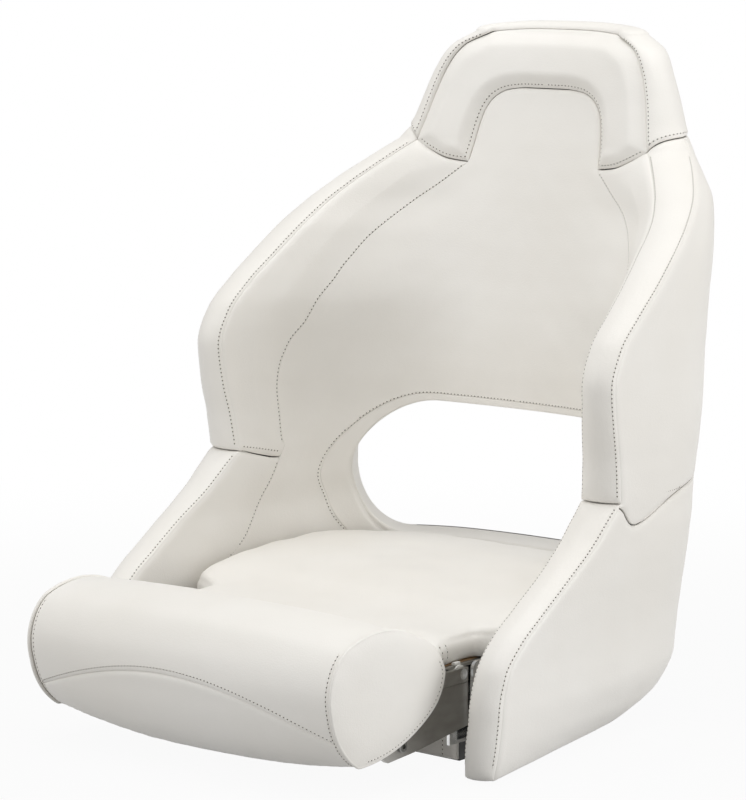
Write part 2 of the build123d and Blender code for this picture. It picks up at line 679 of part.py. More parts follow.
def hinge_pieces():
    """Brackets, stop pins, pivot screws, washers, bushes, swing arms and their fasteners."""
    both_sides(hinge_bracket(), "hinge_bracket")
    both_sides(stop_pin(), "stop_pin")

    bolts = []
    for height in bracket_bolt_heights:
        ends = (bracket_outer, bracket_outer + bracket_bolt_head)
        head = rod(bracket_bolt_head_radius, ends, bracket_bolt_along, height)
        socket_ends = (ends[1] - socket_depth, ends[1])
        head -= rod(socket_radius, socket_ends, bracket_bolt_along, height)
        bolts.append(bolt_shank(height) + head)
    bolts += [mirrored(bolt) for bolt in bolts]
    save(Compound(children=bolts), "bracket_bolts")

    head_ends = (hinge_bar_inner + running_gap, plate_outer)
    screw = rod(pivot_radius, (bracket_inner, head_ends[0]), pivot_along, pivot_height)
    screw += rod(pivot_head_radius, head_ends, pivot_along, pivot_height)
    screw -= rod(socket_radius, (plate_outer - pivot_socket_depth, plate_outer), pivot_along, pivot_height)
    both_sides(screw, "pivot_screw")

    washer_ends = (bracket_outer, bracket_outer + washer_thickness)
    washer = rod(washer_radius, washer_ends, pivot_along, pivot_height)
    washer -= rod(pivot_hole_radius, washer_ends, pivot_along, pivot_height)
    both_sides(washer, "hinge_washer")

    bush_ends = (plate_inner, hinge_bar_inner)
    bush = rod(bush_radius, bush_ends, pivot_along, pivot_height)
    bush -= rod(pivot_hole_radius, bush_ends, pivot_along, pivot_height)
    both_sides(bush, "hinge_bush")

    arm = extrude(side_face(arm_outline(), plate_inner), amount=plate_thickness)
    corners = arm.edges().filter_by(Axis.X).sort_by(Axis.Y)[:4]
    arm = fillet(corners, arm_corner)
    arm -= hinge_bar_block(0) + block((hinge_bar_inner, plate_outer),
                                      (hinge_bar_front - hinge_bar_gap, arm_rear),
                                      (hinge_bar_bottom - hinge_bar_gap, hinge_bar_top))
    arm -= rod(bush_radius, bush_ends, pivot_along, pivot_height)
    arm -= rod(arm_bolt_radius, (plate_inner, plate_outer), *arm_bolt)
    screws = []
    for along in (arm_screw_front, arm_screw_rear):
        screw = arm_screw(along)
        arm -= screw
        screws.append(screw)
    both_sides(arm, "swing_arm")
    both_sides(Compound(children=screws), "arm_screws")

    bar = hinge_bar_block(0)
    bar -= rod(pivot_head_radius + running_gap, (hinge_bar_inner, plate_outer), pivot_along, pivot_height)
    both_sides(bar, "hinge_bar")

    head = rod(arm_bolt_head_radius, (plate_outer, plate_outer + arm_bolt_head), *arm_bolt)
    head = fillet(head.edges().sort_by(Axis.X)[-1], edge_round)
    head -= rod(socket_radius, (plate_outer + arm_bolt_head - socket_depth,
                                plate_outer + arm_bolt_head), *arm_bolt)
    nut = rod(arm_nut_radius, (plate_inner - arm_nut_thickness, plate_inner), *arm_bolt)
    both_sides(head + rod(arm_bolt_radius, (plate_inner, plate_outer), *arm_bolt) + nut, "arm_bolt")


def arm_screw_height():
    return core_board_bottom + core_board_thickness / 2


def arm_screw(along):
    """A countersunk screw through the arm into the end of the bolster's board."""
    height = arm_screw_height()
    shank = rod(arm_screw_radius, (plate_outer - arm_screw_length, plate_outer - arm_screw_head),
                along, height)
    return shank + rod(arm_screw_head_radius, (plate_outer - arm_screw_head, plate_outer),
                       along, height)


def bolster_section(across, deepening, swell, scale):
    """The bolster's outline at one place across, deepened forwards and swollen up and down."""
    centre = Vector(bolster_rear - bolster_depth / 2, bolster_bottom + bolster_height / 2)
    swell_centre = bolster_bottom + bolster_height * bolster_swell_centre_share

    def put(share):
        along = bolster_rear + share[0] * bolster_depth * deepening
        height = bolster_bottom + share[1] * bolster_height
        height = swell_centre + (height - swell_centre) * swell
        return (across, centre.X + (along - centre.X) * scale, centre.Y + (height - centre.Y) * scale)

    edges = []
    count = len(bolster_outline_shares)
    for index, (start, middle) in enumerate(bolster_outline_shares):
        end = bolster_outline_shares[(index + 1) % count][0]
        edges.append(arc_through(put(start), put(middle), put(end)))
    return Face(Wire(edges))


def bolster_pieces():
    """The bolster's board, its crowned pad and its two end caps."""
    core_along = (core_board_front, core_board_front + core_board_depth)
    core_up = (core_board_bottom, core_board_bottom + core_board_thickness)
    core = block((-bolster_body_half, bolster_body_half), core_along, core_up)
    screws = [arm_screw(along) for along in (arm_screw_front, arm_screw_rear)]
    screws += [mirrored(screw) for screw in screws]
    for screw in screws:
        core -= screw
    save(core, "bolster_board")

    sections = []
    for station, fullness in bolster_station_shares:
        deepening = 1 + (bolster_deepening_share - 1) * fullness
        swell = 1 + (bolster_swell_share - 1) * fullness
        sections.append(bolster_section(station * bolster_body_half, deepening, swell, 1))
    pad = loft(sections)
    pad -= block((-bolster_length, bolster_length),
                 (core_along[0] - core_board_fit, core_along[1] + core_board_fit),
                 (core_up[0] - core_board_fit, core_up[1] + core_board_fit))
    save(pad, "bolster_pad")

    cap_inner = plate_outer + cap_gap
    places = [cap_inner, cap_inner + cap_thickness / 2, cap_inner + cap_thickness,
              cap_inner + cap_thickness + cap_crown]
    cap = loft([bolster_section(place, 1, 1, scale)
                for place, scale in zip(places, cap_outline_scale_shares)])
    both_sides(cap, "bolster_cap")


def wall_half_at(curve, along, offset):
    """Half the width between a wall's two sides at a place along, at an offset."""
    turn = curve.on_side(curve.run, offset)
    join = curve.on_corner(curve.corner_angle, offset)
    if along <= turn.Y:
        slope = curve.backward.X / curve.backward.Y
        return turn.X + (along - turn.Y) * slope
    if along <= join.Y:
        radius = curve.corner_radius + offset
        return curve.corner_centre.X + (radius ** 2 - (along - curve.corner_centre.Y) ** 2) ** 0.5
    radius = curve.back_radius + offset
    return (radius ** 2 - (along - curve.back_centre.Y) ** 2) ** 0.5


def cushion_section(along, spread, side_share, crown_share):
    """One cross section of the cushion: flat base, drawn-in sides, rolled edges and a crown."""
    wall_half = wall_half_at(cushion_wall, along, -cushion_wall_gap)
    half = cushion_half + (wall_half - cushion_half) * spread
    side = cushion_side_height * side_share
    crown = cushion_crown * crown_share
    seam = cushion_base + side
    edge = half - cushion_side_draw
    roll_end = half - cushion_roll
    roll_middle = half - cushion_roll * cushion_roll_middle_share
    roll_height = seam + crown * cushion_roll_rise_share

    def put(across, height):
        return (across, along, height)

    edges = [Edge.make_line(put(-edge, cushion_base), put(edge, cushion_base))]
    edges.append(arc_through(put(-roll_end, roll_height), put(0, seam + crown),
                             put(roll_end, roll_height)))
    for turn in (-1, 1):
        edges.append(arc_through(put(turn * edge, cushion_base), put(turn * half, cushion_base + side / 2),
                                 put(turn * edge, seam)))
        middle_height = seam + (roll_height - seam) * cushion_roll_rise_share
        edges.append(arc_through(put(turn * edge, seam), put(turn * roll_middle, middle_height),
                                 put(turn * roll_end, roll_height)))
    return Face(Wire(edges))


def cushion_pieces():
    """The cushion, its board, the side rails and their buffers."""
    sections = [cushion_section(along * tub_depth, spread, side, crown)
                for along, spread, side, crown in cushion_station_shares]
    save(loft(sections), "seat_cushion")

    heights = (floor_top, rail_top)
    narrow = block((-rail_inner, rail_inner), (rail_front, overrun), heights)
    wide = block((-half_width, half_width), (pan_shoulder + cushion_board_gap, overrun), heights)
    save((narrow + wide) & room(wall_clearance + cushion_board_gap), "cushion_board")

    rail = block((rail_inner, bracket_inner), (rail_front, pan_shoulder), heights)
    outer_edges = rail.faces().sort_by(Axis.Z)[-1].edges()
    both_sides(fillet(outer_edges, rail_round), "side_rail")
    buffer = block((bracket_inner - buffer_width, bracket_inner),
                   (buffer_rear - buffer_length, buffer_rear), (rail_top, rail_top + buffer_height))
    buffer = fillet(buffer.faces().sort_by(Axis.Z)[-1].edges(), rail_round)
    both_sides(buffer, "rail_buffer")


tub_pieces()
base_pieces()
hinge_pieces()
bolster_pieces()
cushion_pieces()
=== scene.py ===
import bpy
import bmesh
import numpy as np
from math import pi, radians
from types import SimpleNamespace
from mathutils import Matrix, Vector
from mathutils.bvhtree import BVHTree


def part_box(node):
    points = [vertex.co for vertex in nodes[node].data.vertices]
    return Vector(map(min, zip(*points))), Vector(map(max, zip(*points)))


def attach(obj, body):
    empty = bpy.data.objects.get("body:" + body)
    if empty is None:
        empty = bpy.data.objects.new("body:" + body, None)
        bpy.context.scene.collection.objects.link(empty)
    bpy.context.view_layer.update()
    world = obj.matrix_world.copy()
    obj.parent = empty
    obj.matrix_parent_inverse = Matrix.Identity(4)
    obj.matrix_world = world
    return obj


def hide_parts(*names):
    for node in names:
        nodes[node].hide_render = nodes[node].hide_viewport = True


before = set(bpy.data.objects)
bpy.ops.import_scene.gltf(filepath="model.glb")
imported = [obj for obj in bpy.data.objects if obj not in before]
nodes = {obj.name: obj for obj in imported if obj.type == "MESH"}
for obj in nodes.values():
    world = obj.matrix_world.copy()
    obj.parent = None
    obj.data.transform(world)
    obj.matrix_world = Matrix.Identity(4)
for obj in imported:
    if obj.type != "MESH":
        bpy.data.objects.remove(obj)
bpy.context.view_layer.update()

# An upholstered helm seat round its CAD frame, in metres: X across, the front faces -Y, Z up.
# Sizes of the bucket, as the CAD has them
half_width = 0.281
tub_depth = 0.490
tub_height = 0.712
rim_bulge = 0.008
pad_thickness = 0.0130
skin_thickness = 0.0035
cover_thickness = skin_thickness + 0.001
elbow_share = 0.350
neck_share = 0.815
crown_share = 0.982
elbow = elbow_share * tub_height
neck = neck_share * tub_height
brow = crown_share * tub_height

# One row per level, from the bottom up. Shares: height of tub_height; then for the inner seam of the
# rim and for the outer one: across of half_width, along of tub_depth, lean of the side wall in
# degrees, straight run of tub_depth, centre of the back of tub_depth, radius of it of half_width.
level_shares = [
    (0.000, (0.800, -0.408, 10.0, 0.561, 0.343, 3.2), (0.918, -0.392, 11.0, 0.510, 0.400, 2.14)),
    (0.017, (0.815, -0.418, 7.5, 0.561, 0.365, 3.2), (0.940, -0.404, 9.0, 0.520, 0.424, 2.14)),
    (0.049, (0.825, -0.424, 4.5, 0.561, 0.382, 3.2), (0.961, -0.408, 6.0, 0.535, 0.461, 2.31)),
    (0.100, (0.838, -0.424, 3.0, 0.561, 0.382, 3.2), (0.975, -0.407, 4.0, 0.535, 0.492, 2.49)),
    (0.150, (0.840, -0.406, 3.0, 0.541, 0.380, 3.2), (0.979, -0.390, 4.0, 0.527, 0.498, 2.49)),
    (0.190, (0.840, -0.357, 3.0, 0.490, 0.378, 3.2), (0.982, -0.339, 4.0, 0.482, 0.504, 2.49)),
    (0.221, (0.841, -0.293, 3.0, 0.421, 0.375, 3.15), (0.984, -0.276, 4.0, 0.422, 0.507, 2.49)),
    (0.253, (0.843, -0.224, 3.0, 0.347, 0.373, 3.1), (0.986, -0.208, 4.0, 0.357, 0.510, 2.49)),
    (0.299, (0.829, -0.127, 4.0, 0.241, 0.369, 3.1), (0.986, -0.112, 4.0, 0.265, 0.514, 2.49)),
    (0.325, (0.822, -0.083, 4.5, 0.193, 0.368, 3.0), (0.986, -0.070, 4.5, 0.228, 0.517, 2.49)),
    (0.350, (0.815, -0.041, 5.0, 0.147, 0.367, 2.9), (0.986, -0.029, 5.0, 0.196, 0.520, 2.49)),
    (0.404, (0.829, -0.049, 6.0, 0.139, 0.361, 2.9), (0.993, -0.039, 5.0, 0.216, 0.524, 2.49)),
    (0.459, (0.843, -0.065, 8.0, 0.135, 0.357, 2.9), (1.000, -0.055, 5.0, 0.241, 0.529, 2.49)),
    (0.515, (0.851, -0.073, 10.0, 0.122, 0.357, 2.9), (1.000, -0.063, 5.0, 0.257, 0.533, 2.49)),
    (0.566, (0.847, -0.043, 14.0, 0.092, 0.361, 2.9), (0.996, -0.031, 5.0, 0.237, 0.535, 2.49)),
    (0.608, (0.840, 0.020, 19.0, 0.061, 0.367, 2.9), (0.989, 0.035, 6.0, 0.192, 0.537, 2.49)),
    (0.646, (0.822, 0.090, 25.0, 0.045, 0.373, 3.0), (0.975, 0.108, 7.0, 0.143, 0.539, 2.67)),
    (0.684, (0.797, 0.157, 33.0, 0.041, 0.382, 3.0), (0.954, 0.180, 9.0, 0.110, 0.539, 2.85)),
    (0.721, (0.765, 0.227, 43.0, 0.041, 0.392, 3.2), (0.915, 0.257, 12.0, 0.082, 0.541, 3.03)),
    (0.754, (0.708, 0.286, 55.0, 0.041, 0.402, 3.6), (0.861, 0.327, 15.0, 0.061, 0.543, 3.20)),
    (0.785, (0.633, 0.339, 66.0, 0.041, 0.412, 3.9), (0.783, 0.390, 22.0, 0.041, 0.547, 3.56)),
    (0.815, (0.552, 0.390, 76.0, 0.041, 0.422, 4.3), (0.694, 0.447, 30.0, 0.025, 0.549, 3.92)),
    (0.850, (0.527, 0.406, 78.0, 0.041, 0.435, 4.3), (0.623, 0.461, 14.0, 0.014, 0.549, 3.92)),
    (0.888, (0.502, 0.422, 78.0, 0.041, 0.447, 4.3), (0.584, 0.469, 8.0, 0.008, 0.551, 3.92)),
    (0.927, (0.466, 0.437, 78.0, 0.041, 0.461, 4.3), (0.541, 0.478, 8.0, 0.008, 0.557, 3.92)),
    (0.961, (0.406, 0.455, 78.0, 0.041, 0.476, 4.3), (0.488, 0.490, 8.0, 0.008, 0.567, 3.92)),
    (0.982, (0.299, 0.482, 78.0, 0.037, 0.496, 4.3), (0.399, 0.502, 8.0, 0.008, 0.567, 3.92)),
]
INNER, OUTER = 1, 2

# The seam between the back panel and the side pads: places along it seen from the side, as shares of
# tub_depth and tub_height, then seen from the front, as shares of half_width and tub_height
side_seam_shares = [(-0.220, 0.003), (-0.220, 0.090), (-0.045, 0.205), (0.002, 0.239),
                    (0.043, 0.282), (0.082, 0.329), (0.089, 0.361), (0.084, 0.412),
                    (0.084, 0.463), (0.106, 0.506), (0.145, 0.546), (0.196, 0.602)]
front_seam_shares = [(0.669, 0.629), (0.619, 0.670), (0.502, 0.723), (0.395, 0.756),
                     (0.310, 0.784), (0.306, 0.815)]

# The headrest. Its horseshoe, as shares of half_width and tub_height: its inner edge and the
# heights of its outer edge at the same turns, then the shares across of its level top
horseshoe_inner_shares = [(0.310, 0.784), (0.302, 0.812), (0.292, 0.838), (0.277, 0.861),
                          (0.240, 0.883), (0.176, 0.8955), (0.088, 0.899), (0.000, 0.899)]
horseshoe_outer_height_shares = [0.815, 0.850, 0.888, 0.927, 0.961, 0.982]
horseshoe_top_across_shares = [0.299, 0.150, 0.000]
horseshoe_keys = np.array([0.0, 0.13, 0.26, 0.40, 0.55, 0.70, 0.85, 1.0])
horseshoe_foot = horseshoe_inner_shares[0][1] * tub_height
horseshoe_top = horseshoe_inner_shares[-1][1] * tub_height
horseshoe_half_length = 0.24
horseshoe_width = 0.055
brow_bow = 0.0043
foot_shares = [(0.306, 0.784), (0.391, 0.788), (0.488, 0.802), (0.552, 0.815)]
collar_rise = 0.016
collar_reach = 0.017
foot_fade = 0.20
head_fullness = 0.0014
ridge_inset = 0.017
ridge_fall = 0.0055

# The hole in the lower back and its sewn ring. The ring's two outlines are seen from the front: half
# across, height of the centre, radius of the ends
hole_front_half = 0.157
hole_rear_half = 0.293
hole_front_along = 0.060
hole_rear_along = 0.280
hole_bottom = 0.140
hole_front_top = 0.323
hole_rear_top = 0.283
hole_round_share = 0.96
hole_points = 300
hole_search = (-0.060, 0.300)
panel_cut = (0.0, 0.32)
cover_cut = (0.03, 0.32)
lining_inset = 0.0015
lining_back = 0.0003
lining_ramp = 0.0060
lining_end_gap = 0.0002
hole_match_along = 0.170
ring_seam_outline = np.array([0.216, 0.197, 0.106])
ring_edge_outline = np.array([0.197, 0.203, 0.092])
ring_row_shares = np.concatenate([[0.0, 0.02, 0.05, 0.09], np.linspace(0.15, 1, 11)])
ring_lip = 0.0030
ring_lip_share = 0.85
ring_lip_round_share = 0.96

# The welt at the front of the hole's lining: how far back its rows of points lie, and how deep each
welt_steps = [0.0005, 0.0011, 0.0017, 0.0025, 0.0045, 0.0065, 0.0074, 0.0080, 0.0086, 0.0092]
welt_depths = [0.0012, 0.0028, 0.0008, -0.0005, -0.0010, -0.0005, 0.0008, 0.0028, 0.0010, 0.0]
lining_steps = [0.0105, 0.014, 0.020, 0.028, 0.036, 0.046, 0.056, 0.066, 0.076, 0.086]
welt_backing = 0.0035

# How far the seam between arm and wing drops from the rim to the back panel, and how the outer
# covers' seam dips behind the rim
elbow_drop = 0.0135
elbow_dip = 0.026
elbow_dip_run = 0.060
elbow_dip_reach = 0.042

# How the covers roll in at their seams (depth and width), and how closely their grids are cut
seam_gap = 0.0005
flat_gap = 0.0001
firm_roll = (0.0040, 0.0075)
flat_roll = (0.0003, 0.0016)
end_roll = (0.0030, 0.0065)
arch_roll = (0.0022, 0.0050)
boxing_roll = (0.0016, 0.0048)
hole_roll = (0.0012, 0.0035)
hem_roll = (0.0025, 0.0050)
edge_steps = np.array([0.0, 0.0004, 0.0009, 0.0016, 0.0026, 0.0040, 0.0060, 0.0090])
grid_step = 0.0050
fine_step = 0.0032
panel_step = 0.0045
panel_row_step = 0.0042
cover_step = 0.0055
bolster_row_step = 0.0062
bolster_round_step = 0.0048
arm_pad_width = 0.25
wing_pad_width = 0.14
rim_strip_width = 0.05
panel_half_width = 0.33
cover_height = 0.30
pad_bottom = 0.0020
cover_bottom = 0.0005

# How far covers swell between their seams, and the widths over which the narrow ones do
arm_crown = 0.0015
wing_crown = 0.0025
panel_crown = 0.0015
cover_crown = 0.0012
rim_crown = 0.0022
rim_crown_width = 0.022
headrest_crown = 0.0085
headrest_crown_width = 0.019

# Bolster, as the CAD has it. Each row of its outline is the start and the middle of an arc, as
# shares of its depth and height.
bolster_half = 0.200
bolster_depth = 0.168
bolster_height = 0.126
bolster_rear = -0.200
bolster_bottom = 0.031
bolster_deepening_share = 1.06
bolster_swell_share = 1.167
bolster_swell_centre_share = 0.62
bolster_fullness_power = 2.3
bolster_outline_shares = [
    ((-0.762, 0.008), (-0.911, 0.190)),
    ((-0.988, 0.437), (-0.994, 0.667)),
    ((-0.863, 0.921), (-0.571, 1.000)),
    ((-0.238, 0.881), (-0.083, 0.754)),
    ((0.000, 0.563), (-0.030, 0.429)),
    ((-0.125, 0.278), (-0.417, 0.079)),
]
arch_end_share = 0.190
arch_middle_share = 0.556
cap_dome = 0.0050
cap_base = 0.1995
cap_body = 0.0022
cap_ring_shares = [0.0, 0.25, 0.5, 0.68, 0.80, 0.88, 0.93, 0.96, 0.98, 0.992, 1.0]
piping_radius = 0.0018
piping_sides = 8
piping_stand_off = 0.0004
cap_closing_shares = (0.86, 0.5, 0.0)

# Cushion: its form as the CAD has it, and how it is blown up as cloth. A station is a row of shares:
# along of tub_depth, spread to the walls, height of the sides, and crown.
cushion_base = 0.0984
cushion_half = 0.1814
cushion_side_height = 0.024
cushion_crown = 0.030
cushion_side_draw = 0.005
cushion_roll = 0.018
cushion_roll_rise_share = 0.84
cushion_level_share = 0.150
cushion_wall_gap = 0.0025
cushion_step = 0.006
cushion_pressure = 4.0
cushion_move_limit = 0.0016
cushion_voxel = 0.005
cushion_frames = 20
cushion_station_shares = [
    (-0.380, 0.0, 0.79, 0.02), (-0.367, 0.0, 0.93, 0.05), (-0.340, 0.0, 1.0, 0.10),
    (-0.300, 0.0, 1.0, 0.16), (-0.280, 0.0, 1.0, 0.19), (-0.255, 0.0, 1.0, 0.24),
    (-0.235, 0.3, 1.0, 0.29), (-0.215, 0.75, 1.0, 0.36), (-0.190, 1.0, 1.0, 0.48),
    (-0.169, 1.0, 1.0, 0.60), (-0.110, 1.0, 1.0, 0.76), (-0.053, 1.0, 1.0, 0.87),
    (0.055, 1.0, 1.0, 1.0), (0.143, 1.0, 1.0, 1.03), (0.249, 1.0, 1.0, 0.96),
    (0.296, 1.0, 1.0, 0.92), (0.335, 1.0, 1.0, 0.85), (0.356, 1.0, 0.98, 0.74),
    (0.366, 1.0, 0.90, 0.50),
]
apron_seam_inset = 0.011
apron_back_gap = 0.0005
apron_roll = (0.0040, 0.0050)
apron_seam_roll = (0.0015, 0.0040)

# Stitches and the dark beads of painted shade that stand for the needle holes, with their length, width
# and height first
thread_size = (0.0030, 0.0010, 0.0007)
hole_shade_size = (0.0018, 0.0015, 0.0005)
thread_lift = 0.00010
hole_shade_lift = -0.00005
thread_slant = 8.0
bolster_slant = 16.0
stitch_pitch = 0.0044
stitch_offset = 0.0045
flat_offset = 0.0011
twin_offset = 0.004
rim_row_start = 0.004
rim_row_end = 0.002
arm_rim_row_bottom = 0.012
arm_row_bottom = 0.080
elbow_row_gap = 0.003
elbow_row_extra = 0.0015
bolster_end_offset = 0.0055
bolster_end_turns = (-0.02, 0.29, 120)
cap_row_turns = (0.62, 0.99, 160)
cap_row_share = 0.945


def span(vectors):
    return np.sqrt((vectors ** 2).sum(-1))


def smooth(places, values, at):
    """A monotone cubic through given values, so that the curve never overshoots them."""
    places, values = np.asarray(places, float), np.asarray(values, float)
    if values.ndim == 1:
        return smooth(places, values[:, None], at)[..., 0]
    step = np.diff(places)[:, None]
    slope = np.diff(values, axis=0) / step
    before = 2 * step[1:] + step[:-1]
    after = step[1:] + 2 * step[:-1]
    same = slope[1:] * slope[:-1] > 0
    slowness = before / np.where(same, slope[:-1], 1.0) + after / np.where(same, slope[1:], 1.0)
    tangent = np.concatenate([slope[:1], np.where(same, (before + after) / slowness, 0.0), slope[-1:]])
    at = np.clip(np.asarray(at, float), places[0], places[-1])
    index = np.clip(np.searchsorted(places, at, side="right") - 1, 0, len(places) - 2)
    width = step[index]
    share = (at[..., None] - places[index][..., None]) / width
    return (values[index] * (1 + 2 * share) * (1 - share) ** 2
            + values[index + 1] * share ** 2 * (3 - 2 * share)
            + tangent[index] * width * share * (1 - share) ** 2
            - tangent[index + 1] * width * share ** 2 * (1 - share))


class Wall:
    """A face of the bucket's wall: in plan a straight side, a corner and the arc of the back.

    A point on it is given by its height, its run along the wall from the rim's seam, and an
    offset, which is positive away from the sitter. The curves break at the elbow and the neck."""

    def __init__(self, face):
        self.tables = []
        for low, high in ((0, elbow_share), (elbow_share, neck_share), (neck_share, 1)):
            rows = [row for row in level_shares if low <= row[0] <= high]
            self.tables.append(([row[0] * tub_height for row in rows], [row[face] for row in rows]))

    def sizes(self, z):
        shares = smooth(*self.tables[0], z)
        for heights, rows in self.tables[1:]:
            shares = np.where((z > heights[0])[:, None], smooth(heights, rows, z), shares)
        across, along, lean, straight, back, radius = shares.T
        lean = np.radians(lean)
        plan = SimpleNamespace(lean=lean, run=straight * tub_depth)
        plan.rim = np.stack([across * half_width, along * tub_depth])
        plan.inward = np.stack([-np.cos(lean), -np.sin(lean)])
        plan.backward = np.stack([-np.sin(lean), np.cos(lean)])
        plan.back_radius = radius * half_width
        plan.back_centre = back * tub_depth - plan.back_radius
        end = plan.rim + plan.backward * plan.run
        reach = np.stack([end[0], end[1] - plan.back_centre])
        fall = plan.back_radius ** 2 - (reach ** 2).sum(0)
        plan.corner_radius = fall / (2 * (plan.back_radius + (reach * plan.inward).sum(0)))
        plan.corner = end + plan.inward * plan.corner_radius
        plan.turn = np.arctan2(plan.corner[1] - plan.back_centre, plan.corner[0])
        plan.corner_run = plan.corner_radius * (plan.turn - lean)
        plan.back_run = plan.back_radius * (pi / 2 - plan.turn)
        return plan

    def length(self, z):
        z = np.asarray(z, float)
        plan = self.sizes(z.ravel())
        return (plan.run + plan.corner_run + plan.back_run).reshape(z.shape)

    def point(self, z, run, offset=0.0):
        z, run, offset = np.broadcast_arrays(np.asarray(z, float), run, offset)
        shape = z.shape
        z, run, offset = z.ravel(), run.ravel(), offset.ravel()
        plan = self.sizes(z)
        side = plan.rim + plan.backward * run - plan.inward * offset
        bend = plan.lean + (run - plan.run) / plan.corner_radius
        corner = plan.corner + np.stack([np.cos(bend), np.sin(bend)]) * (plan.corner_radius + offset)
        swing = plan.turn + (run - plan.run - plan.corner_run) / plan.back_radius
        reach = plan.back_radius + offset
        back = np.stack([np.cos(swing) * reach, np.sin(swing) * reach + plan.back_centre])
        place = np.where(run <= plan.run, side, np.where(run <= plan.run + plan.corner_run, corner, back))
        return np.stack([*place, z], -1).reshape(shape + (3,))

    def find(self, z, target, axis):
        """The run at which the wall reaches a place across (axis 0) or along (axis 1)."""
        z, target = np.broadcast_arrays(np.asarray(z, float), target)
        low = np.zeros(z.shape)
        high = self.length(z)
        sign = 1 if axis == 1 else -1
        for _ in range(26):
            middle = (low + high) / 2
            past = sign * (self.point(z, middle)[..., axis] - target) > 0
            high = np.where(past, middle, high)
            low = np.where(past, low, middle)
        return (low + high) / 2


inner = Wall(INNER)
outer = Wall(OUTER)


def on_inner(line):
    """A line of places across and heights, laid on the inner wall."""
    return inner.point(line[:, 1], inner.find(line[:, 1], line[:, 0], 0))


def seam_places():
    """The side pads' inner seam, as heights and runs."""
    marks = [(height * tub_height, along * tub_depth, 1) for along, height in side_seam_shares]
    marks += [(height * tub_height, across * half_width, 0) for across, height in front_seam_shares]
    return zip(*((height, float(inner.find(height, place, axis))) for height, place, axis in marks))


seam_heights, seam_runs = seam_places()


def seam_run(z):
    return smooth(seam_heights, seam_runs, z)


# Grids, seams and meshes


def ladder(width, step):
    """Where to cut a width: a share of it and a shift, close together near both ends."""
    even = np.linspace(0, 1, max(int(width / step), 2) + 1)
    close = len(edge_steps) - 1
    return np.stack([
        np.concatenate([np.zeros(close), even, np.ones(close)]),
        np.concatenate([edge_steps[:-1], edge_steps[-1] * (1 - 2 * even), -edge_steps[-2::-1]])])


def half_ladder(width, step):
    """The same for a width that ends at the seat's middle, where nothing has to be close."""
    even = np.linspace(0, 1, max(int(width / step), 2) + 1)
    return np.stack([np.concatenate([np.zeros(len(edge_steps) - 1), even]),
                     np.concatenate([edge_steps[:-1], edge_steps[-1] * (1 - even)])])


def cut(low, high, steps):
    share, shift = steps
    width = high - low
    return low + width * share + shift * np.clip(width / (3 * edge_steps[-1]), 0.0, 1.0)


def distance(points, line):
    """The distance from each point to a line of points."""
    flat = points.reshape(-1, 3)
    start, step = line[:-1], np.diff(line, axis=0)
    length = np.maximum((step ** 2).sum(1), 1e-12)
    result = np.empty(len(flat))
    for first in range(0, len(flat), 4000):
        away = flat[first:first + 4000, None, :] - start[None]
        share = np.clip((away * step).sum(2) / length, 0, 1)
        result[first:first + 4000] = span(away - share[..., None] * step).min(1)
    return result.reshape(points.shape[:-1])


def eased(share):
    return share * share * (3 - 2 * share)


def settle(points, borders, crown=0.0, crown_width=0.045):
    """How far a cover sinks below its plain surface: rolled in at its seams, swollen between."""
    sink = np.zeros(points.shape[:-1])
    nearest = np.full(points.shape[:-1], 1.0)
    for line, (depth, width) in borders:
        near = distance(points, line)
        share = np.clip(1 - near / width, 0, 1)
        sink = np.maximum(sink, depth * (1 - np.sqrt(1 - share ** 2)))
        nearest = np.minimum(nearest, near)
    return sink - crown * eased(np.clip(nearest / crown_width, 0, 1)) + unevenness(points)


wave_random = np.random.default_rng(7)
wave_numbers = wave_random.normal(size=(9, 3)) * np.array([38.0] * 4 + [90.0] * 5)[:, None]
wave_phases = wave_random.uniform(0, 2 * pi, 9)
wave_heights = np.array([0.00022] * 4 + [0.00007] * 5)


def unevenness(points):
    """The slight lumps of foam under a cover."""
    return (np.sin(points @ wave_numbers.T + wave_phases) * wave_heights).sum(-1)


def put(name, data):
    made = bpy.data.objects.new(name, data)
    bpy.context.scene.collection.objects.link(made)
    return made


def make_object(name, points, faces):
    mesh = bpy.data.meshes.new(name)
    mesh.from_pydata(points.tolist(), [], faces)
    made = put(name, mesh)
    clean = bmesh.new()
    clean.from_mesh(mesh)
    bmesh.ops.remove_doubles(clean, verts=clean.verts, dist=1e-6)
    bmesh.ops.recalc_face_normals(clean, faces=clean.faces)
    clean.to_mesh(mesh)
    clean.free()
    mesh.shade_smooth()
    return made


def closed(line):
    return np.concatenate([line, line[:1]])


def numbered(rows, columns, looped=True):
    """The numbers of a grid's points. A looped grid has its first column again at the end."""
    index = np.arange(rows * columns).reshape(rows, columns)
    return closed(index.T).T if looped else index


def quads(index):
    return np.stack([index[:-1, :-1], index[1:, :-1], index[1:, 1:], index[:-1, 1:]], -1).reshape(-1, 4)


def joined(one, other):
    return np.stack([one[:-1], one[1:], other[1:], other[:-1]], -1)


def looped_object(name, grid):
    """An object whose grid of points closes round on itself in each row."""
    return make_object(name, grid.reshape(-1, 3), quads(numbered(*grid.shape[:2])).tolist())


def shell(name, front, back, looped=False):
    """A closed skin between two grids of points. Looped grids join their last column to the first."""
    near = numbered(*front.shape[:2], looped)
    far = near + front.shape[0] * front.shape[1]
    edges = [(near[0], far[0]), (near[-1], far[-1])]
    if not looped:
        edges += [(near[:, 0], far[:, 0]), (near[:, -1], far[:, -1])]
    faces = [quads(near), quads(far)[:, ::-1]] + [joined(*edge) for edge in edges]
    points = np.concatenate([front.reshape(-1, 3), back.reshape(-1, 3)])
    return make_object(name, points, np.concatenate(faces).tolist())


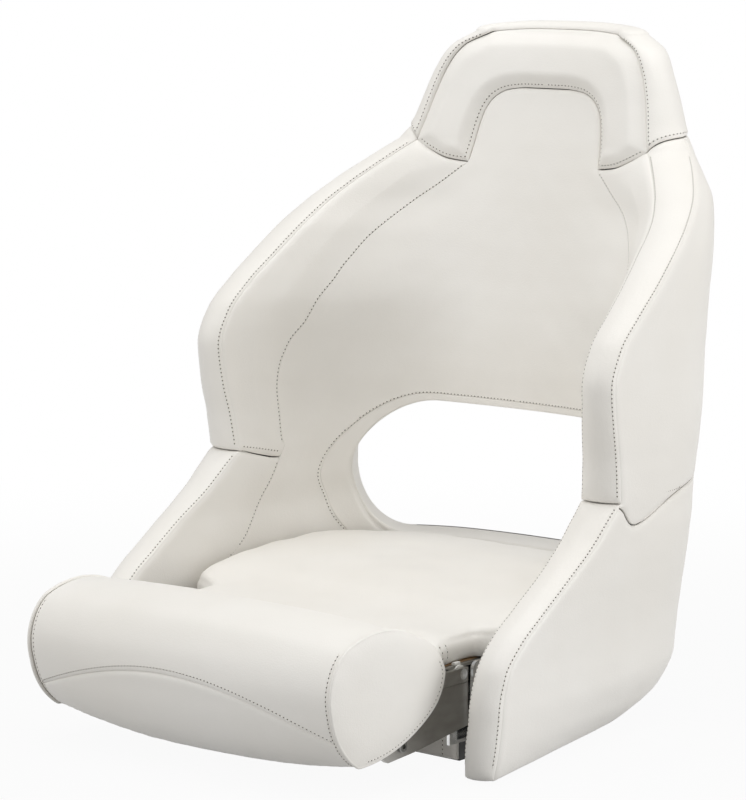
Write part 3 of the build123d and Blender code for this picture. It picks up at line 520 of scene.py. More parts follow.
def apply_modifiers(piece):
    graph = bpy.context.evaluated_depsgraph_get()
    made = bpy.data.meshes.new_from_object(piece.evaluated_get(graph))
    piece.modifiers.clear()
    piece.data = made
    made.shade_smooth()


def flipped(points):
    return points * np.array([-1.0, 1.0, 1.0])


def mirrored(right):
    """A grid on both halves of the seat, from the right end round the back to the left end."""
    return np.concatenate([right, flipped(right)[:, ::-1][:, 1:]], axis=1)


# Materials


def add(tree, kind, **values):
    """A node, with values for its sockets, named with _ for a space, or for its settings."""
    node = tree.nodes.new("ShaderNode" + kind)
    for key, value in values.items():
        socket = key.replace("_", " ")
        if socket in node.inputs:
            node.inputs[socket].default_value = value
        else:
            setattr(node, key, value)
    return node


def wire(tree, *links):
    for start, start_socket, end, end_socket in links:
        tree.links.new(start.outputs[start_socket], end.inputs[end_socket])


def texture(tree, kind, stretch, **values):
    """A texture on object coordinates that are drawn out by a scale on each axis."""
    place = add(tree, "TexCoord")
    mapping = add(tree, "Mapping", Scale=stretch)
    node = add(tree, kind, **values)
    wire(tree, (place, "Object", mapping, "Vector"), (mapping, "Vector", node, "Vector"))
    return node


def finish(name, tones, tone_noise, rough, rough_noise, grains, stretch=(1, 1, 1),
           spread=(0.35, 0.65), **values):
    """A material whose colour and roughness drift with noise, under one or more fine grains.

    A noise is a scale and a detail. A grain is a texture's kind, output, stretch and values, and
    the depth and strength of its bump."""
    material = bpy.data.materials.new(name)
    material.use_nodes = True
    tree = material.node_tree
    shader = tree.nodes["Principled BSDF"]
    for key, value in values.items():
        shader.inputs[key.replace("_", " ")].default_value = value
    noise = texture(tree, "TexNoise", stretch, Scale=tone_noise[0], Detail=tone_noise[1])
    ramp = add(tree, "ValToRGB")
    for element, position, colour in zip(ramp.color_ramp.elements, spread, tones):
        element.position = position
        element.color = (*colour, 1)
    wire(tree, (noise, "Fac", ramp, "Fac"), (ramp, "Color", shader, "Base Color"))
    if rough_noise:
        noise = texture(tree, "TexNoise", stretch, Scale=rough_noise[0], Detail=rough_noise[1])
        drift = add(tree, "MapRange", To_Min=rough[0], To_Max=rough[1])
        wire(tree, (noise, "Fac", drift, "Value"), (drift, "Result", shader, "Roughness"))
    else:
        shader.inputs["Roughness"].default_value = rough
    below = None
    for kind, output, grain_stretch, depth, strength, grain_values in grains:
        grain = texture(tree, kind, grain_stretch, **grain_values)
        bump = add(tree, "Bump", Distance=depth, Strength=strength)
        wire(tree, (grain, output, bump, "Height"), (bump, "Normal", shader, "Normal"))
        if below is not None:
            wire(tree, (below, "Normal", bump, "Normal"))
        below = bump
    return material


def metal(name, dark, light, rough, stretch=(40, 40, 40), depth=0.0001):
    """A bare metal: brushed along one axis, or polished with faint wear."""
    scratches = ("TexNoise", "Fac", stretch, depth, 0.15, {"Scale": 6.0, "Detail": 6.0})
    return finish(name, (dark, light), (3.0, 4.0), (rough * 0.8, rough * 1.25), (5.0, 5.0),
                  [scratches], stretch, Metallic=1.0)


def moulded(name, dark, light, rough):
    """A moulded plastic or a coating with a fine spark texture."""
    spark = ("TexNoise", "Fac", (1, 1, 1), 0.0002, 0.3, {"Scale": 900.0, "Detail": 2.0})
    return finish(name, (dark, light), (9.0, 3.0), (rough - 0.05, rough + 0.08), (40.0, 3.0), [spark])


pebbles = ("TexVoronoi", "Distance", (1, 1, 1), 0.0003, 0.28, {"Scale": 620.0})
creases = ("TexNoise", "Fac", (1.0, 1.5, 0.8), 0.0006, 0.16,
           {"Scale": 150.0, "Detail": 5.0, "Roughness": 0.6, "Distortion": 0.4})
cream = finish("cream_vinyl", ((0.825, 0.800, 0.752), (0.865, 0.845, 0.805)), (5.0, 3.0),
               (0.40, 0.52), (60.0, 4.0), [pebbles, creases],
               Specular_IOR_Level=0.42, Sheen_Weight=0.06, Sheen_Roughness=0.4)
twist = ("TexWave", "Fac", (900, 900, 900), 0.0002, 0.4, {"Scale": 1.2, "Distortion": 1.0})
thread = finish("seam_thread", ((0.82, 0.79, 0.73), (0.90, 0.88, 0.83)), (1.0, 1.0),
                0.7, None, [twist], (900, 900, 900), Sheen_Weight=0.15)
fibres = ("TexNoise", "Fac", (3, 30, 420), 0.0004, 0.3, {"Scale": 4.0, "Detail": 6.0})
wood = finish("marine_plywood", ((0.33, 0.19, 0.09), (0.62, 0.42, 0.24)), (2.0, 6.0),
              (0.55, 0.75), (4.0, 3.0), [fibres], (3, 30, 420), (0.3, 0.7))
# Painted shade: a near-black bead stands for the shadow inside each needle hole.
hole_shade = moulded("needle_hole_shade", (0.055, 0.045, 0.033), (0.09, 0.075, 0.055), 0.8)
shell_plastic = moulded("moulded_shell", (0.045, 0.048, 0.050), (0.065, 0.068, 0.070), 0.5)
# The base board is given a near-black colour.
near_black_board = moulded("near_black_board", (0.040, 0.041, 0.040), (0.062, 0.062, 0.060), 0.55)
nylon = moulded("white_nylon", (0.72, 0.72, 0.69), (0.84, 0.84, 0.81), 0.35)
steel = metal("polished_steel", (0.62, 0.63, 0.63), (0.80, 0.80, 0.79), 0.14)
stainless = metal("stainless_steel", (0.55, 0.55, 0.54), (0.70, 0.70, 0.69), 0.28)
aluminium = metal("satin_aluminium", (0.33, 0.32, 0.30), (0.38, 0.37, 0.35), 0.36,
                  (40, 14, 40), 0.00002)
bronze = metal("bearing_bronze", (0.55, 0.36, 0.16), (0.72, 0.50, 0.25), 0.3)
dark_bolt = metal("blackened_bolt", (0.20, 0.20, 0.19), (0.28, 0.28, 0.27), 0.32)

# The hard pieces' finishes. A name that ends in _ has a left and a right node.
finish_of_nodes = [
    (shell_plastic, ["tub_core", "floor_pan"]),
    (near_black_board, ["base_board"]),
    (wood, ["cushion_board", "bolster_board"]),
    (stainless, ["mounting_inserts", "base_screws", "bracket_bolts", "pivot_screw_", "arm_screws_"]),
    (steel, ["hinge_bracket_", "stop_pin_"]),
    (aluminium, ["swing_arm_", "hinge_bar_", "side_rail_"]),
    (bronze, ["hinge_bush_"]),
    (nylon, ["hinge_washer_", "rail_buffer_"]),
    (dark_bolt, ["arm_bolt_"]),
]
for node_finish, names in finish_of_nodes:
    for name in names:
        for side in ("left", "right") if name.endswith("_") else ("",):
            for material_slot in nodes[name + side].material_slots:
                material_slot.material = node_finish


def dress(piece, body, *replaced, fill=None):
    """Gives a piece its vinyl and its body, and hides the CAD nodes that it stands for."""
    piece.data.materials.append(cream)
    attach(piece, body)
    if replaced:
        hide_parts(*replaced)
    return piece


def pair(name, face, borders, **crown):
    """A pad on the right side and its left-hand twin. Face gives the pad's points at a depth."""
    front = face(settle(face(0.0), borders, **crown))
    back = face(pad_thickness)
    pieces = [shell(name + "_right", front, back), shell(name + "_left", flipped(front), flipped(back))]
    for piece, side in zip(pieces, ("_right", "_left")):
        dress(piece, "bucket", name + side, fill=0.85)
    return pieces


# Side pads


def elbow_seam(place, rise=0.0):
    """The seam between arm and wing, at shares of the way from the rim to the back panel."""
    height = elbow - elbow_drop * place + rise
    return inner.point(height, place * seam_run(height))


def foot_height(across):
    """The height of the headrest's foot edge at a place across."""
    return smooth(*zip(*foot_shares), across / half_width) * tub_height


def foot_line(place):
    """The height of the wings' top edge at shares of the way from the rim to the back panel."""
    height = np.full(np.shape(place), neck)
    for _ in range(12):
        height = foot_height(inner.point(height, place * seam_run(height))[..., 0])
    return height


def side_pads(name, height, width, ends, seams, crown):
    """Inner pads between the rim and the back panel. Ends gives their two heights at shares of the
    way from the one to the other, and seams the heights at which their side seams are laid."""
    columns = ladder(width, grid_step)
    low, high = ends(np.clip(columns[0] + columns[1] / width, 0, 1))
    z = cut(low, high, ladder(height, grid_step)[..., None])
    run = cut(seam_gap, seam_run(z) - flat_gap, columns)
    heights = np.linspace(*seams)
    borders = [(inner.point(heights, 0.0), firm_roll), (elbow_seam(np.linspace(0, 1, 40)), firm_roll),
               (inner.point(heights, seam_run(heights)), flat_roll)]
    if high[0] > elbow:
        foot = np.linspace(0, 1, 40)
        foot_heights = foot_line(foot)
        borders.append((inner.point(foot_heights, foot * seam_run(foot_heights)), firm_roll))
    return pair(name, lambda sink: inner.point(z, run, sink), borders, crown=crown)


def arm_pad_ends(place):
    return pad_bottom, elbow - elbow_drop * place - seam_gap


def wing_pad_ends(place):
    return elbow - elbow_drop * place + seam_gap, foot_line(place) - seam_gap


# Rim strips


def collar(reach):
    """The height of the headrest cover's lower edge, at a reach round from the inner seam."""
    return neck + collar_rise * (1 - np.exp(-reach / collar_reach))


def rim_width(z):
    return span(outer.point(z, 0.0) - inner.point(z, 0.0))


def rim_grid(z, place, sink=0.0):
    """Points on the rim's rounded face, place running from its inner seam to its outer one."""
    start = inner.point(z, 0.0)
    end = outer.point(z, 0.0)
    chord = end - start
    width = span(chord)
    radius = (width ** 2 / 4 + rim_bulge ** 2) / (2 * rim_bulge)
    forward = np.stack([chord[..., 1], -chord[..., 0], 0 * width], -1) / width[..., None]
    across = chord / width[..., None]
    angle = (2 * place - 1) * np.arcsin(np.clip(width / 2 / radius, -1, 1))
    reach = (radius - sink)[..., None]
    centre = (start + end) / 2 - forward * (radius - rim_bulge)[..., None]
    return centre + across * np.sin(angle)[..., None] * reach + forward * np.cos(angle)[..., None] * reach


def rim_strip(name, low, high):
    """The rounded front strips of the arms or of the wings."""
    rows = ladder(high - low, grid_step)[..., None]
    z = cut(low, high, rows)
    width = rim_width(z)
    place = cut(seam_gap, width - seam_gap, ladder(rim_strip_width, fine_step)) / width
    end_place = np.linspace(0, 1, 20)
    end_heights = [np.full(20, low), np.full(20, high)]
    if high > elbow:
        z = cut(low, collar(place * width) - seam_gap, rows)
        end_heights[1] = collar(end_place * width[-1, 0])
    z = np.broadcast_to(z, place.shape)
    heights = np.linspace(low, end_heights[1][-1], 160)
    lines = [inner.point(heights, 0.0), outer.point(heights, 0.0)]
    lines += [rim_grid(height, end_place) for height in end_heights]
    return pair(name, lambda sink: rim_grid(z, place, sink), [(line, firm_roll) for line in lines],
                crown=rim_crown, crown_width=rim_crown_width)


# Back panel, ring and lining


def travel(line):
    """How far along a line each of its points lies."""
    return np.concatenate([[0], np.cumsum(span(np.diff(line, axis=0)))])


def horseshoe_edge():
    """The horseshoe's inner edge as across and height, dense and smooth."""
    points = np.array(horseshoe_inner_shares) * [half_width, tub_height]
    reach = travel(points)
    return smooth(reach, points, np.linspace(0, reach[-1], 300))


def back_panel():
    """The middle panel of the back, from the seat up between the horseshoe's legs."""
    z = cut(pad_bottom, horseshoe_top - seam_gap, ladder(horseshoe_top, panel_row_step))
    edge = horseshoe_edge()
    rising = edge[edge[:, 1] < horseshoe_top - 1e-6]
    edge_run = inner.find(z, np.interp(z, rising[:, 1], rising[:, 0]), 0)
    start = np.where(z < horseshoe_foot, seam_run(z) + flat_gap, edge_run + seam_gap)[:, None]
    share, shift = half_ladder(panel_half_width, panel_step)
    run = start + (inner.length(z)[:, None] - start) * share + shift
    z = np.broadcast_to(z[:, None], run.shape)
    heights = np.linspace(0.0, horseshoe_foot, 240)
    borders = [(inner.point(heights, seam_run(heights)), flat_roll), (on_inner(edge), firm_roll),
               (ring_point(np.linspace(0, 1, 240), ring_seam_outline), flat_roll)]
    sink = settle(inner.point(z, run), borders, panel_crown)
    panel = shell("back_panel", mirrored(inner.point(z, run, sink)),
                  mirrored(inner.point(z, run, pad_thickness)))
    cut_hole(panel, panel_cut, lambda turns, along: stadium(turns, ring_seam_outline, flat_gap))
    return dress(panel, "bucket", "back_panel", fill=0.8)


turn_keys = [0.0, 0.12, 0.245, 0.255, 0.38, 0.62, 0.745, 0.755, 0.88, 1.0]
across_keys = [0, 1, 1, 1, 1, -1, -1, -1, -1, 0]
height_keys = [1, 1, 1, -1, -1, -1, -1, 1, 1, 1]
angle_keys = [0, 0, pi / 2, pi / 2, pi, pi, 1.5 * pi, 1.5 * pi, 2 * pi, 2 * pi]


def hole_point(turn, grow, along):
    """Across and height of a point of the hole's rounded outline. Turn runs once round it."""
    share = (along - hole_front_along) / (hole_rear_along - hole_front_along)
    half = hole_front_half + (hole_rear_half - hole_front_half) * share + grow
    top = hole_front_top + (hole_rear_top - hole_front_top) * share + grow
    bottom = hole_bottom - grow
    radius = (top - bottom) / 2 * hole_round_share
    angle = np.interp(turn, turn_keys, angle_keys)
    across = np.interp(turn, turn_keys, across_keys) * (half - radius) + np.sin(angle) * radius
    rise = np.interp(turn, turn_keys, height_keys) * ((top - bottom) / 2 - radius)
    return across, (top + bottom) / 2 + rise + np.cos(angle) * radius


def stadium(turn, sizes, grow=0.0):
    """Across and height of a point of an outline with level edges and round ends."""
    half, centre, radius = np.moveaxis(np.asarray(sizes), -1, 0)
    angle = np.interp(turn, turn_keys, angle_keys)
    across = np.interp(turn, turn_keys, across_keys) * (half - radius)
    return across + np.sin(angle) * (radius + grow), centre + np.cos(angle) * (radius + grow)


def ring_point(turn, sizes, grow=0.0, offset=0.0):
    """A point of one of the ring's outlines, laid on the inner wall."""
    across, height = stadium(turn, sizes, grow)
    point = inner.point(height, inner.find(height, np.abs(across), 0), offset)
    point[..., 0] *= np.where(across < 0, -1, 1)
    return point


def hole_on_cover(turn):
    """Where the hole's lining comes out through the outer wall."""
    low, high = (np.full(turn.shape, end) for end in hole_search)
    for _ in range(20):
        along = (low + high) / 2
        across, height = hole_point(turn, -lining_inset, along)
        point = outer.point(height, outer.find(height, along, 1))
        outside = np.abs(across) >= point[..., 0] - 1e-6
        high = np.where(outside, along, high)
        low = np.where(outside, low, along)
    point[..., 0] *= np.where(across < 0, -1, 1)
    return point


def cut_hole(piece, ends, form):
    """Cuts a piece with a plug between two places along. Form gives its across and height."""
    turns = np.linspace(0, 1, hole_points, endpoint=False)
    rings = []
    for along in ends:
        across, height = form(turns, along)
        rings.append(np.stack([across, np.full(hole_points, along), height], -1))
    near, far = numbered(2, hole_points)
    faces = joined(near, far).tolist() + [near[:-1].tolist(), far[-2::-1].tolist()]
    plug = make_object("hole_plug", np.concatenate(rings), faces)
    modifier = piece.modifiers.new("hole", "BOOLEAN")
    modifier.operation = "DIFFERENCE"
    modifier.solver = "EXACT"
    modifier.object = plug
    apply_modifiers(piece)
    bpy.data.objects.remove(plug)


def hole_turns(turns):
    """The hole's turns that lie in the same directions from its middle as the ring's edge."""
    def direction(across, height):
        return np.unwrap(np.arctan2(across, height - ring_edge_outline[1]))

    dense = np.linspace(0, 1, 2000)
    hole = direction(*hole_point(dense, 0.0, hole_match_along))
    return np.interp(direction(*stadium(turns, ring_edge_outline)), hole, dense)


def opening_ring():
    """The sewn ring round the hole, its welt, and the lining that runs through the wall."""
    turns = np.linspace(0, 1, hole_points, endpoint=False)
    share = ring_row_shares[:, None]
    widths = (share * np.ones(hole_points))[..., None]
    sizes = ring_seam_outline + (ring_edge_outline - ring_seam_outline) * widths
    lip = np.clip((share - ring_lip_share) / (1 - ring_lip_share), 0, 1)
    lip_drop = ring_lip * (1 - np.sqrt(1 - lip ** 2 * ring_lip_round_share))

    def flat_part(sink):
        return ring_point(turns[None], sizes, -flat_gap * (1 - share), sink)

    seam = ring_point(np.linspace(0, 1, 300), ring_seam_outline)
    front = flat_part(settle(flat_part(0.0), [(seam, flat_roll)]) + lip_drop)
    start = front[-1, :, 1]
    matched = hole_turns(turns)
    depth = hole_on_cover(matched)[:, 1] - start - lining_end_gap
    steps = np.array(welt_steps + lining_steps)[:, None]
    groove = np.array(welt_depths + [0.0] * len(lining_steps))[:, None]
    blend = np.linspace(0, 1, len(steps))[:, None] ** 2
    forward = steps * (1 - blend) + steps / steps[-1] * depth * blend
    along = start + np.maximum.accumulate(np.minimum(forward, depth), axis=0)
    ramp = eased(np.clip((along - start) / lining_ramp, 0, 1))[..., None]

    def tunnel(grow):
        edge = np.stack(stadium(turns, ring_edge_outline, grow), -1)
        hole = np.stack(hole_point(matched, grow - lining_inset, along), -1)
        line = edge * (1 - ramp) + hole * ramp
        return np.stack([line[..., 0], along, line[..., 1]], -1)

    behind = np.where(steps <= welt_steps[-1], welt_backing, lining_inset - lining_back)
    ring = shell("back_opening_ring", np.concatenate([front, tunnel(groove)]),
                 np.concatenate([flat_part(pad_thickness), tunnel(behind)]), looped=True)
    dress(ring, "bucket", "back_opening_ring", fill=0.8)


# Outer covers


def elbow_line(run):
    """The height of the covers' seam at each run: it dips behind the rim, then levels out."""
    return elbow - elbow_dip * np.exp(-((run - elbow_dip_run) / elbow_dip_reach) ** 2)


def back_covers():
    """The outer covers, which meet at the elbow's seam."""
    reach = float(outer.length(elbow))
    share, shift = half_ladder(reach, cover_step)
    nominal = reach * share + shift
    line = elbow_line(nominal)
    top = collar(rim_width(neck) + nominal)
    elbow_runs = np.linspace(0, reach, 200)
    seams = [(outer.point(elbow_line(elbow_runs), elbow_runs), firm_roll),
             (hole_on_cover(np.linspace(0, 1, 240)), hole_roll)]
    for name, low, high, rim, hem in (
            ("lower_back_cover", cover_bottom, line - seam_gap, (0.0, elbow, 120), cover_bottom),
            ("upper_back_cover", line + seam_gap, top - seam_gap, (elbow, neck, 160), neck + collar_rise)):
        z = cut(low, high, ladder(cover_height, cover_step)[..., None])
        end = outer.length(z)
        run = np.minimum(seam_gap + (end - seam_gap) * share + shift, end)
        hem_runs = np.linspace(0, float(outer.length(hem)), 160)
        borders = seams + [(outer.point(np.linspace(*rim), 0.0), firm_roll),
                           (outer.point(hem, hem_runs), hem_roll)]
        sink = settle(outer.point(z, run), borders, cover_crown)
        cover = shell(name, mirrored(outer.point(z, run, -sink)),
                      mirrored(outer.point(z, run, -cover_thickness)))
        cut_hole(cover, cover_cut, lambda turns, along: hole_point(turns, -lining_inset, along))
        dress(cover, "bucket", name, fill=0.7)


# Headrest


def brow_line(across):
    """The height of the headrest's top seam, which bows up a little in the middle."""
    reach = horseshoe_top_across_shares[0] * half_width
    return brow + brow_bow * (1 - np.clip(np.abs(across) / reach, 0, 1) ** 3)


def headrest_edges(place):
    """The headrest pad's two edges, each as across and height, from the right foot to the middle."""
    inner_points = np.array(horseshoe_inner_shares) * [half_width, tub_height]
    legs = len(horseshoe_outer_height_shares)
    turn = horseshoe_keys[legs - 1]
    heights = np.array(horseshoe_outer_height_shares) * tub_height
    leg = smooth(horseshoe_keys[:legs], heights, np.minimum(place, turn))
    top_across = np.interp(place, horseshoe_keys[legs - 1:],
                           np.array(horseshoe_top_across_shares) * half_width)
    outer_across = np.where(place <= turn, inner.point(leg, 0.0)[..., 0], top_across)
    bow = np.where(place <= turn, 0, brow_line(outer_across) - brow)
    return smooth(horseshoe_keys, inner_points, place), np.stack([outer_across, leg + bow], -1)


def foot_edge(place, rise=0.0):
    """The headrest pad's foot, at shares of the way from its inner edge to its outer one."""
    start, end = headrest_edges(np.zeros(1))
    foot = start + (end - start) * place[:, None]
    foot[:, 1] = foot_height(foot[:, 0]) + rise
    return foot


def headrest_pad():
    """The horseshoe cushion of the headrest."""
    share, shift = half_ladder(horseshoe_half_length, panel_step)
    place = np.minimum(share + shift / horseshoe_half_length, 1.0)
    inner_line, outer_line = headrest_edges(place)
    width = span(outer_line - inner_line)[:, None]
    between = cut(seam_gap, width - seam_gap, ladder(horseshoe_width, fine_step)) / width
    point = inner_line[:, None] + (outer_line - inner_line)[:, None] * between[..., None]
    across, z = point[..., 0], point[..., 1]
    foot_drop = foot_height(across[0]) - z[0] + seam_gap
    z = z + foot_drop * np.clip(1 - place / foot_fade, 0, 1)[:, None] ** 2
    run = inner.find(z, across, 0)
    lines = [*headrest_edges(np.linspace(0, 1, 300)), foot_edge(np.linspace(0, 1, 30))]
    borders = [(on_inner(line), firm_roll) for line in lines]
    sink = settle(inner.point(z, run), borders, headrest_crown, headrest_crown_width)

    def whole(offset):
        return mirrored(inner.point(z, run, offset).swapaxes(0, 1)).swapaxes(0, 1)

    pad = shell("headrest_pad", whole(sink), whole(pad_thickness))
    return dress(pad, "bucket", "headrest_pad", fill=0.9)


def headrest_cover():
    """The cover round the headrest's rim, sides, back and top."""
    rim_place = np.linspace(0, 1, 19)
    run_share = np.linspace(0, 1, 36)[1:]
    width = rim_width(neck)
    distances = np.concatenate([rim_place * width, width + run_share * outer.length(neck)])
    low = collar(distances) + seam_gap
    share, shift = half_ladder(brow - neck, panel_step)[..., None]
    z = np.minimum(low + (brow - low) * share + shift, brow)
    z_rim, z_back = z[:, :len(rim_place)], z[:, len(rim_place):]
    back_run = outer.length(z_back) * run_share
    place = np.broadcast_to(rim_place, z_rim.shape)
    neck_line = np.concatenate([rim_grid(low[:len(rim_place)], rim_place),
                                outer.point(low[len(rim_place):], back_run[0])])
    borders = [(inner.point(np.linspace(neck, brow, 100), 0.0), firm_roll), (neck_line, firm_roll)]
    rim_sink = settle(rim_grid(z_rim, place), borders) - head_fullness
    back_sink = settle(outer.point(z_back, back_run), borders) - head_fullness

    def skin(deeper):
        rim = rim_grid(z_rim, place, rim_sink + deeper)
        wall = outer.point(z_back, back_run, -back_sink - deeper)
        return mirrored(np.concatenate([rim, wall], axis=1))

    cover = crowned_head(skin(0.0), skin(skin_thickness))
    return dress(cover, "bucket", "headrest_cover", fill=0.8)


def crowned_head(front, back):
    """Closes the head's cover with a top that rounds over to a ridge between its front and back."""
    loop = front[-1]
    bow = np.zeros((40, 3))
    bow[:, 0] = np.linspace(loop[-1, 0], loop[0, 0], 42)[1:-1]
    plain = inner.point(brow, inner.find(np.full(40, brow), np.abs(bow[:, 0]), 0))
    bow[:, 1] = plain[:, 1] + firm_roll[0]
    bow[:, 2] = brow_line(bow[:, 0])
    ring = np.concatenate([loop, bow])
    reach = ring[:, 0].max()
    ridge = ring.copy()
    ridge[:, 0] *= 1 - ridge_inset / reach
    right_half = loop[:len(loop) // 2 + 1]
    widest = right_half[:, 0].argmax()
    face = np.concatenate([bow[bow[:, 0] > 0], right_half[:widest + 1]])
    rear = right_half[widest:][::-1]
    ridge[:, 1] = sum(np.interp(np.abs(ridge[:, 0]), line[:, 0], line[:, 1]) for line in (face, rear)) / 2
    ridge[:, 2] = tub_height - ridge_fall * np.clip(np.abs(ridge[:, 0]) / (reach - ridge_inset), 0, 1) ** 3
    loops = []
    for angle in np.linspace(0, pi / 2, 13)[1:]:
        moved = ridge + (ring - ridge) * max(np.cos(angle), 0.004)
        moved[:, 2] = ring[:, 2] + (ridge[:, 2] - ring[:, 2]) * np.sin(angle)
        for _ in range(2 + int(10 * np.sin(angle))):
            moved = (np.roll(moved, 1, axis=0) + 2 * moved + np.roll(moved, -1, axis=0)) / 4
        loops.append(moved)
    near = numbered(*front.shape[:2], looped=False)
    far = near + near.size
    bow_index = np.arange(len(bow)) + 2 * near.size
    rings = np.concatenate([near[-1:], bow_index[None]], axis=1)
    rings = np.concatenate([rings, numbered(len(loops), len(ring), looped=False) + bow_index[-1] + 1])
    faces = [quads(near), quads(far)[:, ::-1], quads(closed(rings.T).T)]
    faces += [joined(near[0], far[0]), joined(near[:, 0], far[:, 0]), joined(near[:, -1], far[:, -1])]
    faces = np.concatenate(faces).tolist()
    faces.append([*bow_index.tolist(), int(near[-1, 0]), *far[-1].tolist(), int(near[-1, -1])])
    faces.append(rings[-1].tolist())
    points = np.concatenate([front.reshape(-1, 3), back.reshape(-1, 3), bow] + loops)
    return make_object("headrest_cover", points, faces)


# Bolster


def arc(start, middle, end, count):
    """Points on the arc through three points, without its end."""
    ax, ay = start
    bx, by = middle
    cx, cy = end
    spread = 2 * (ax * (by - cy) + bx * (cy - ay) + cx * (ay - by))
    ux = ((ax ** 2 + ay ** 2) * (by - cy) + (bx ** 2 + by ** 2) * (cy - ay)
          + (cx ** 2 + cy ** 2) * (ay - by)) / spread
    uy = ((ax ** 2 + ay ** 2) * (cx - bx) + (bx ** 2 + by ** 2) * (ax - cx)
          + (cx ** 2 + cy ** 2) * (bx - ax)) / spread
    first = np.arctan2(ay - uy, ax - ux)
    via = (np.arctan2(by - uy, bx - ux) - first) % (2 * pi)
    last = (np.arctan2(cy - uy, cx - ux) - first) % (2 * pi)
    if via > last:
        last -= 2 * pi
    angle = first + last * np.linspace(0, 1, count, endpoint=False)
    radius = np.hypot(ax - ux, ay - uy)
    return np.stack([ux + radius * np.cos(angle), uy + radius * np.sin(angle)], -1)


def spaced(line, count, endpoint=True):
    """Evenly spaced points on a line."""
    reach = travel(line)
    at = np.linspace(0, reach[-1], count, endpoint=endpoint)
    return np.stack([np.interp(at, reach, values) for values in line.T], -1)


def bolster_outline():
    """The bolster's outline in side view, evenly spaced and with its joints eased."""
    rows = []
    count = len(bolster_outline_shares)
    for index, (start, middle) in enumerate(bolster_outline_shares):
        end = bolster_outline_shares[(index + 1) % count][0]
        points = [(bolster_rear + along * bolster_depth, bolster_bottom + height * bolster_height)
                  for along, height in (start, middle, end)]
        rows.append(arc(*points, 100))
    line = spaced(closed(np.concatenate(rows)), 600, endpoint=False)
    kernel = np.exp(-np.linspace(-2, 2, 17) ** 2)
    kernel /= kernel.sum()
    soft = sum(weight * np.roll(line, shift, axis=0) for shift, weight in zip(range(-8, 9), kernel))
    return spaced(closed(soft), 600, endpoint=False)


outline = bolster_outline()
outline_normal = np.roll(outline, -3, axis=0) - np.roll(outline, 3, axis=0)
outline_normal = np.stack([outline_normal[:, 1], -outline_normal[:, 0]], -1)
outline_normal /= span(outline_normal)[:, None]
outline_centre = np.array([bolster_rear - bolster_depth / 2, bolster_bottom + bolster_height / 2])
if ((outline - outline_centre) * outline_normal).sum() < 0:
    outline_normal = -outline_normal
outline_length = travel(closed(outline))[-1]


def ring_value(table, at):
    """A value on the closed outline at places that wrap round, as shares of its length."""
    place = np.mod(at, 1.0) * len(table)
    low = np.floor(place).astype(int) % len(table)
    share = (place - np.floor(place))[..., None]
    return table[low] * (1 - share) + table[(low + 1) % len(table)] * share


def arch_place(across):
    """Where the front seam lies on the outline: it arches up towards the middle."""
    front = outline[:, 0] < outline_centre[0] - bolster_depth * 0.2
    rise = (arch_middle_share - arch_end_share) * (1 - (across / bolster_half) ** 2)
    height = bolster_bottom + bolster_height * (arch_end_share + rise)
    order = np.argsort(outline[front, 1])
    places = np.arange(len(outline))[front] / len(outline)
    places = np.where(places > 0.6, places - 1, places)
    return np.interp(height, outline[front, 1][order], places[order])


def bolster_point(across, at, sink=0.0):
    """A point of the bolster's cover, sunk below its plain surface."""
    fullness = 1 - np.clip(np.abs(across) / bolster_half, 0, 1) ** bolster_fullness_power
    base = ring_value(outline, at) - ring_value(outline_normal, at) * np.asarray(sink)[..., None]
    along = bolster_rear + (base[..., 0] - bolster_rear) * (1 + (bolster_deepening_share - 1) * fullness)
    middle = bolster_bottom + bolster_height * bolster_swell_centre_share
    height = middle + (base[..., 1] - middle) * (1 + (bolster_swell_share - 1) * fullness)
    return np.stack([across + 0 * along, along, height], -1)


def bolster_cover():
    """The bolster's cover between its end seams, with the arched seam along its front."""
    across = cut(-bolster_half, bolster_half, ladder(2 * bolster_half, bolster_row_step))[:, None]
    share, shift = ladder(outline_length, bolster_round_step)
    at = arch_place(across) + (share * outline_length + shift)[:-1] / outline_length
    across = np.broadcast_to(across, at.shape)
    line_across = np.linspace(-bolster_half, bolster_half, 200)
    arch = bolster_point(line_across, arch_place(line_across))
    borders = [(arch, arch_roll)]
    for side in (-bolster_half, bolster_half):
        borders.append((bolster_point(np.full(200, side), np.linspace(0, 1, 200)), end_roll))
    body = bolster_point(across, at, settle(bolster_point(across, at), borders))

    def closing(loop):
        middle = loop.mean(0)
        return np.stack([middle + (loop - middle) * scale for scale in cap_closing_shares])

    grid = np.concatenate([closing(body[0])[::-1], body, closing(body[-1])])
    cover = looped_object("bolster_cover", grid)
    return dress(cover, "bolster", "bolster_pad", fill=0.9)


def bolster_cap(side, name):
    """A crowned end cap, and the piping round it."""
    at = np.linspace(0, 1, 220, endpoint=False)[None]
    radius = np.array(cap_ring_shares)[:, None]
    flat = outline_centre + (ring_value(outline, at) - outline_centre) * radius[..., None]
    lift = np.broadcast_to(cap_base + (cap_dome * (1 - radius ** 5) + cap_body), flat.shape[:2])
    front = np.concatenate([lift[..., None], flat], -1)
    front[..., 0] = side * (lift + unevenness(front))
    rear = front[::-1].copy()
    rear[..., 0] = side * cap_base
    cap = looped_object("bolster_cap_" + name, np.concatenate([front, rear]))
    dress(cap, "bolster", "bolster_cap_" + name, fill=0.8)
    line = bolster_point(np.full(400, side * bolster_half), np.linspace(0, 1, 400, endpoint=False))
    line[:, 0] = side * (bolster_half + piping_stand_off)
    dress(piping("cap_piping_" + name, line), "bolster")
    return cap


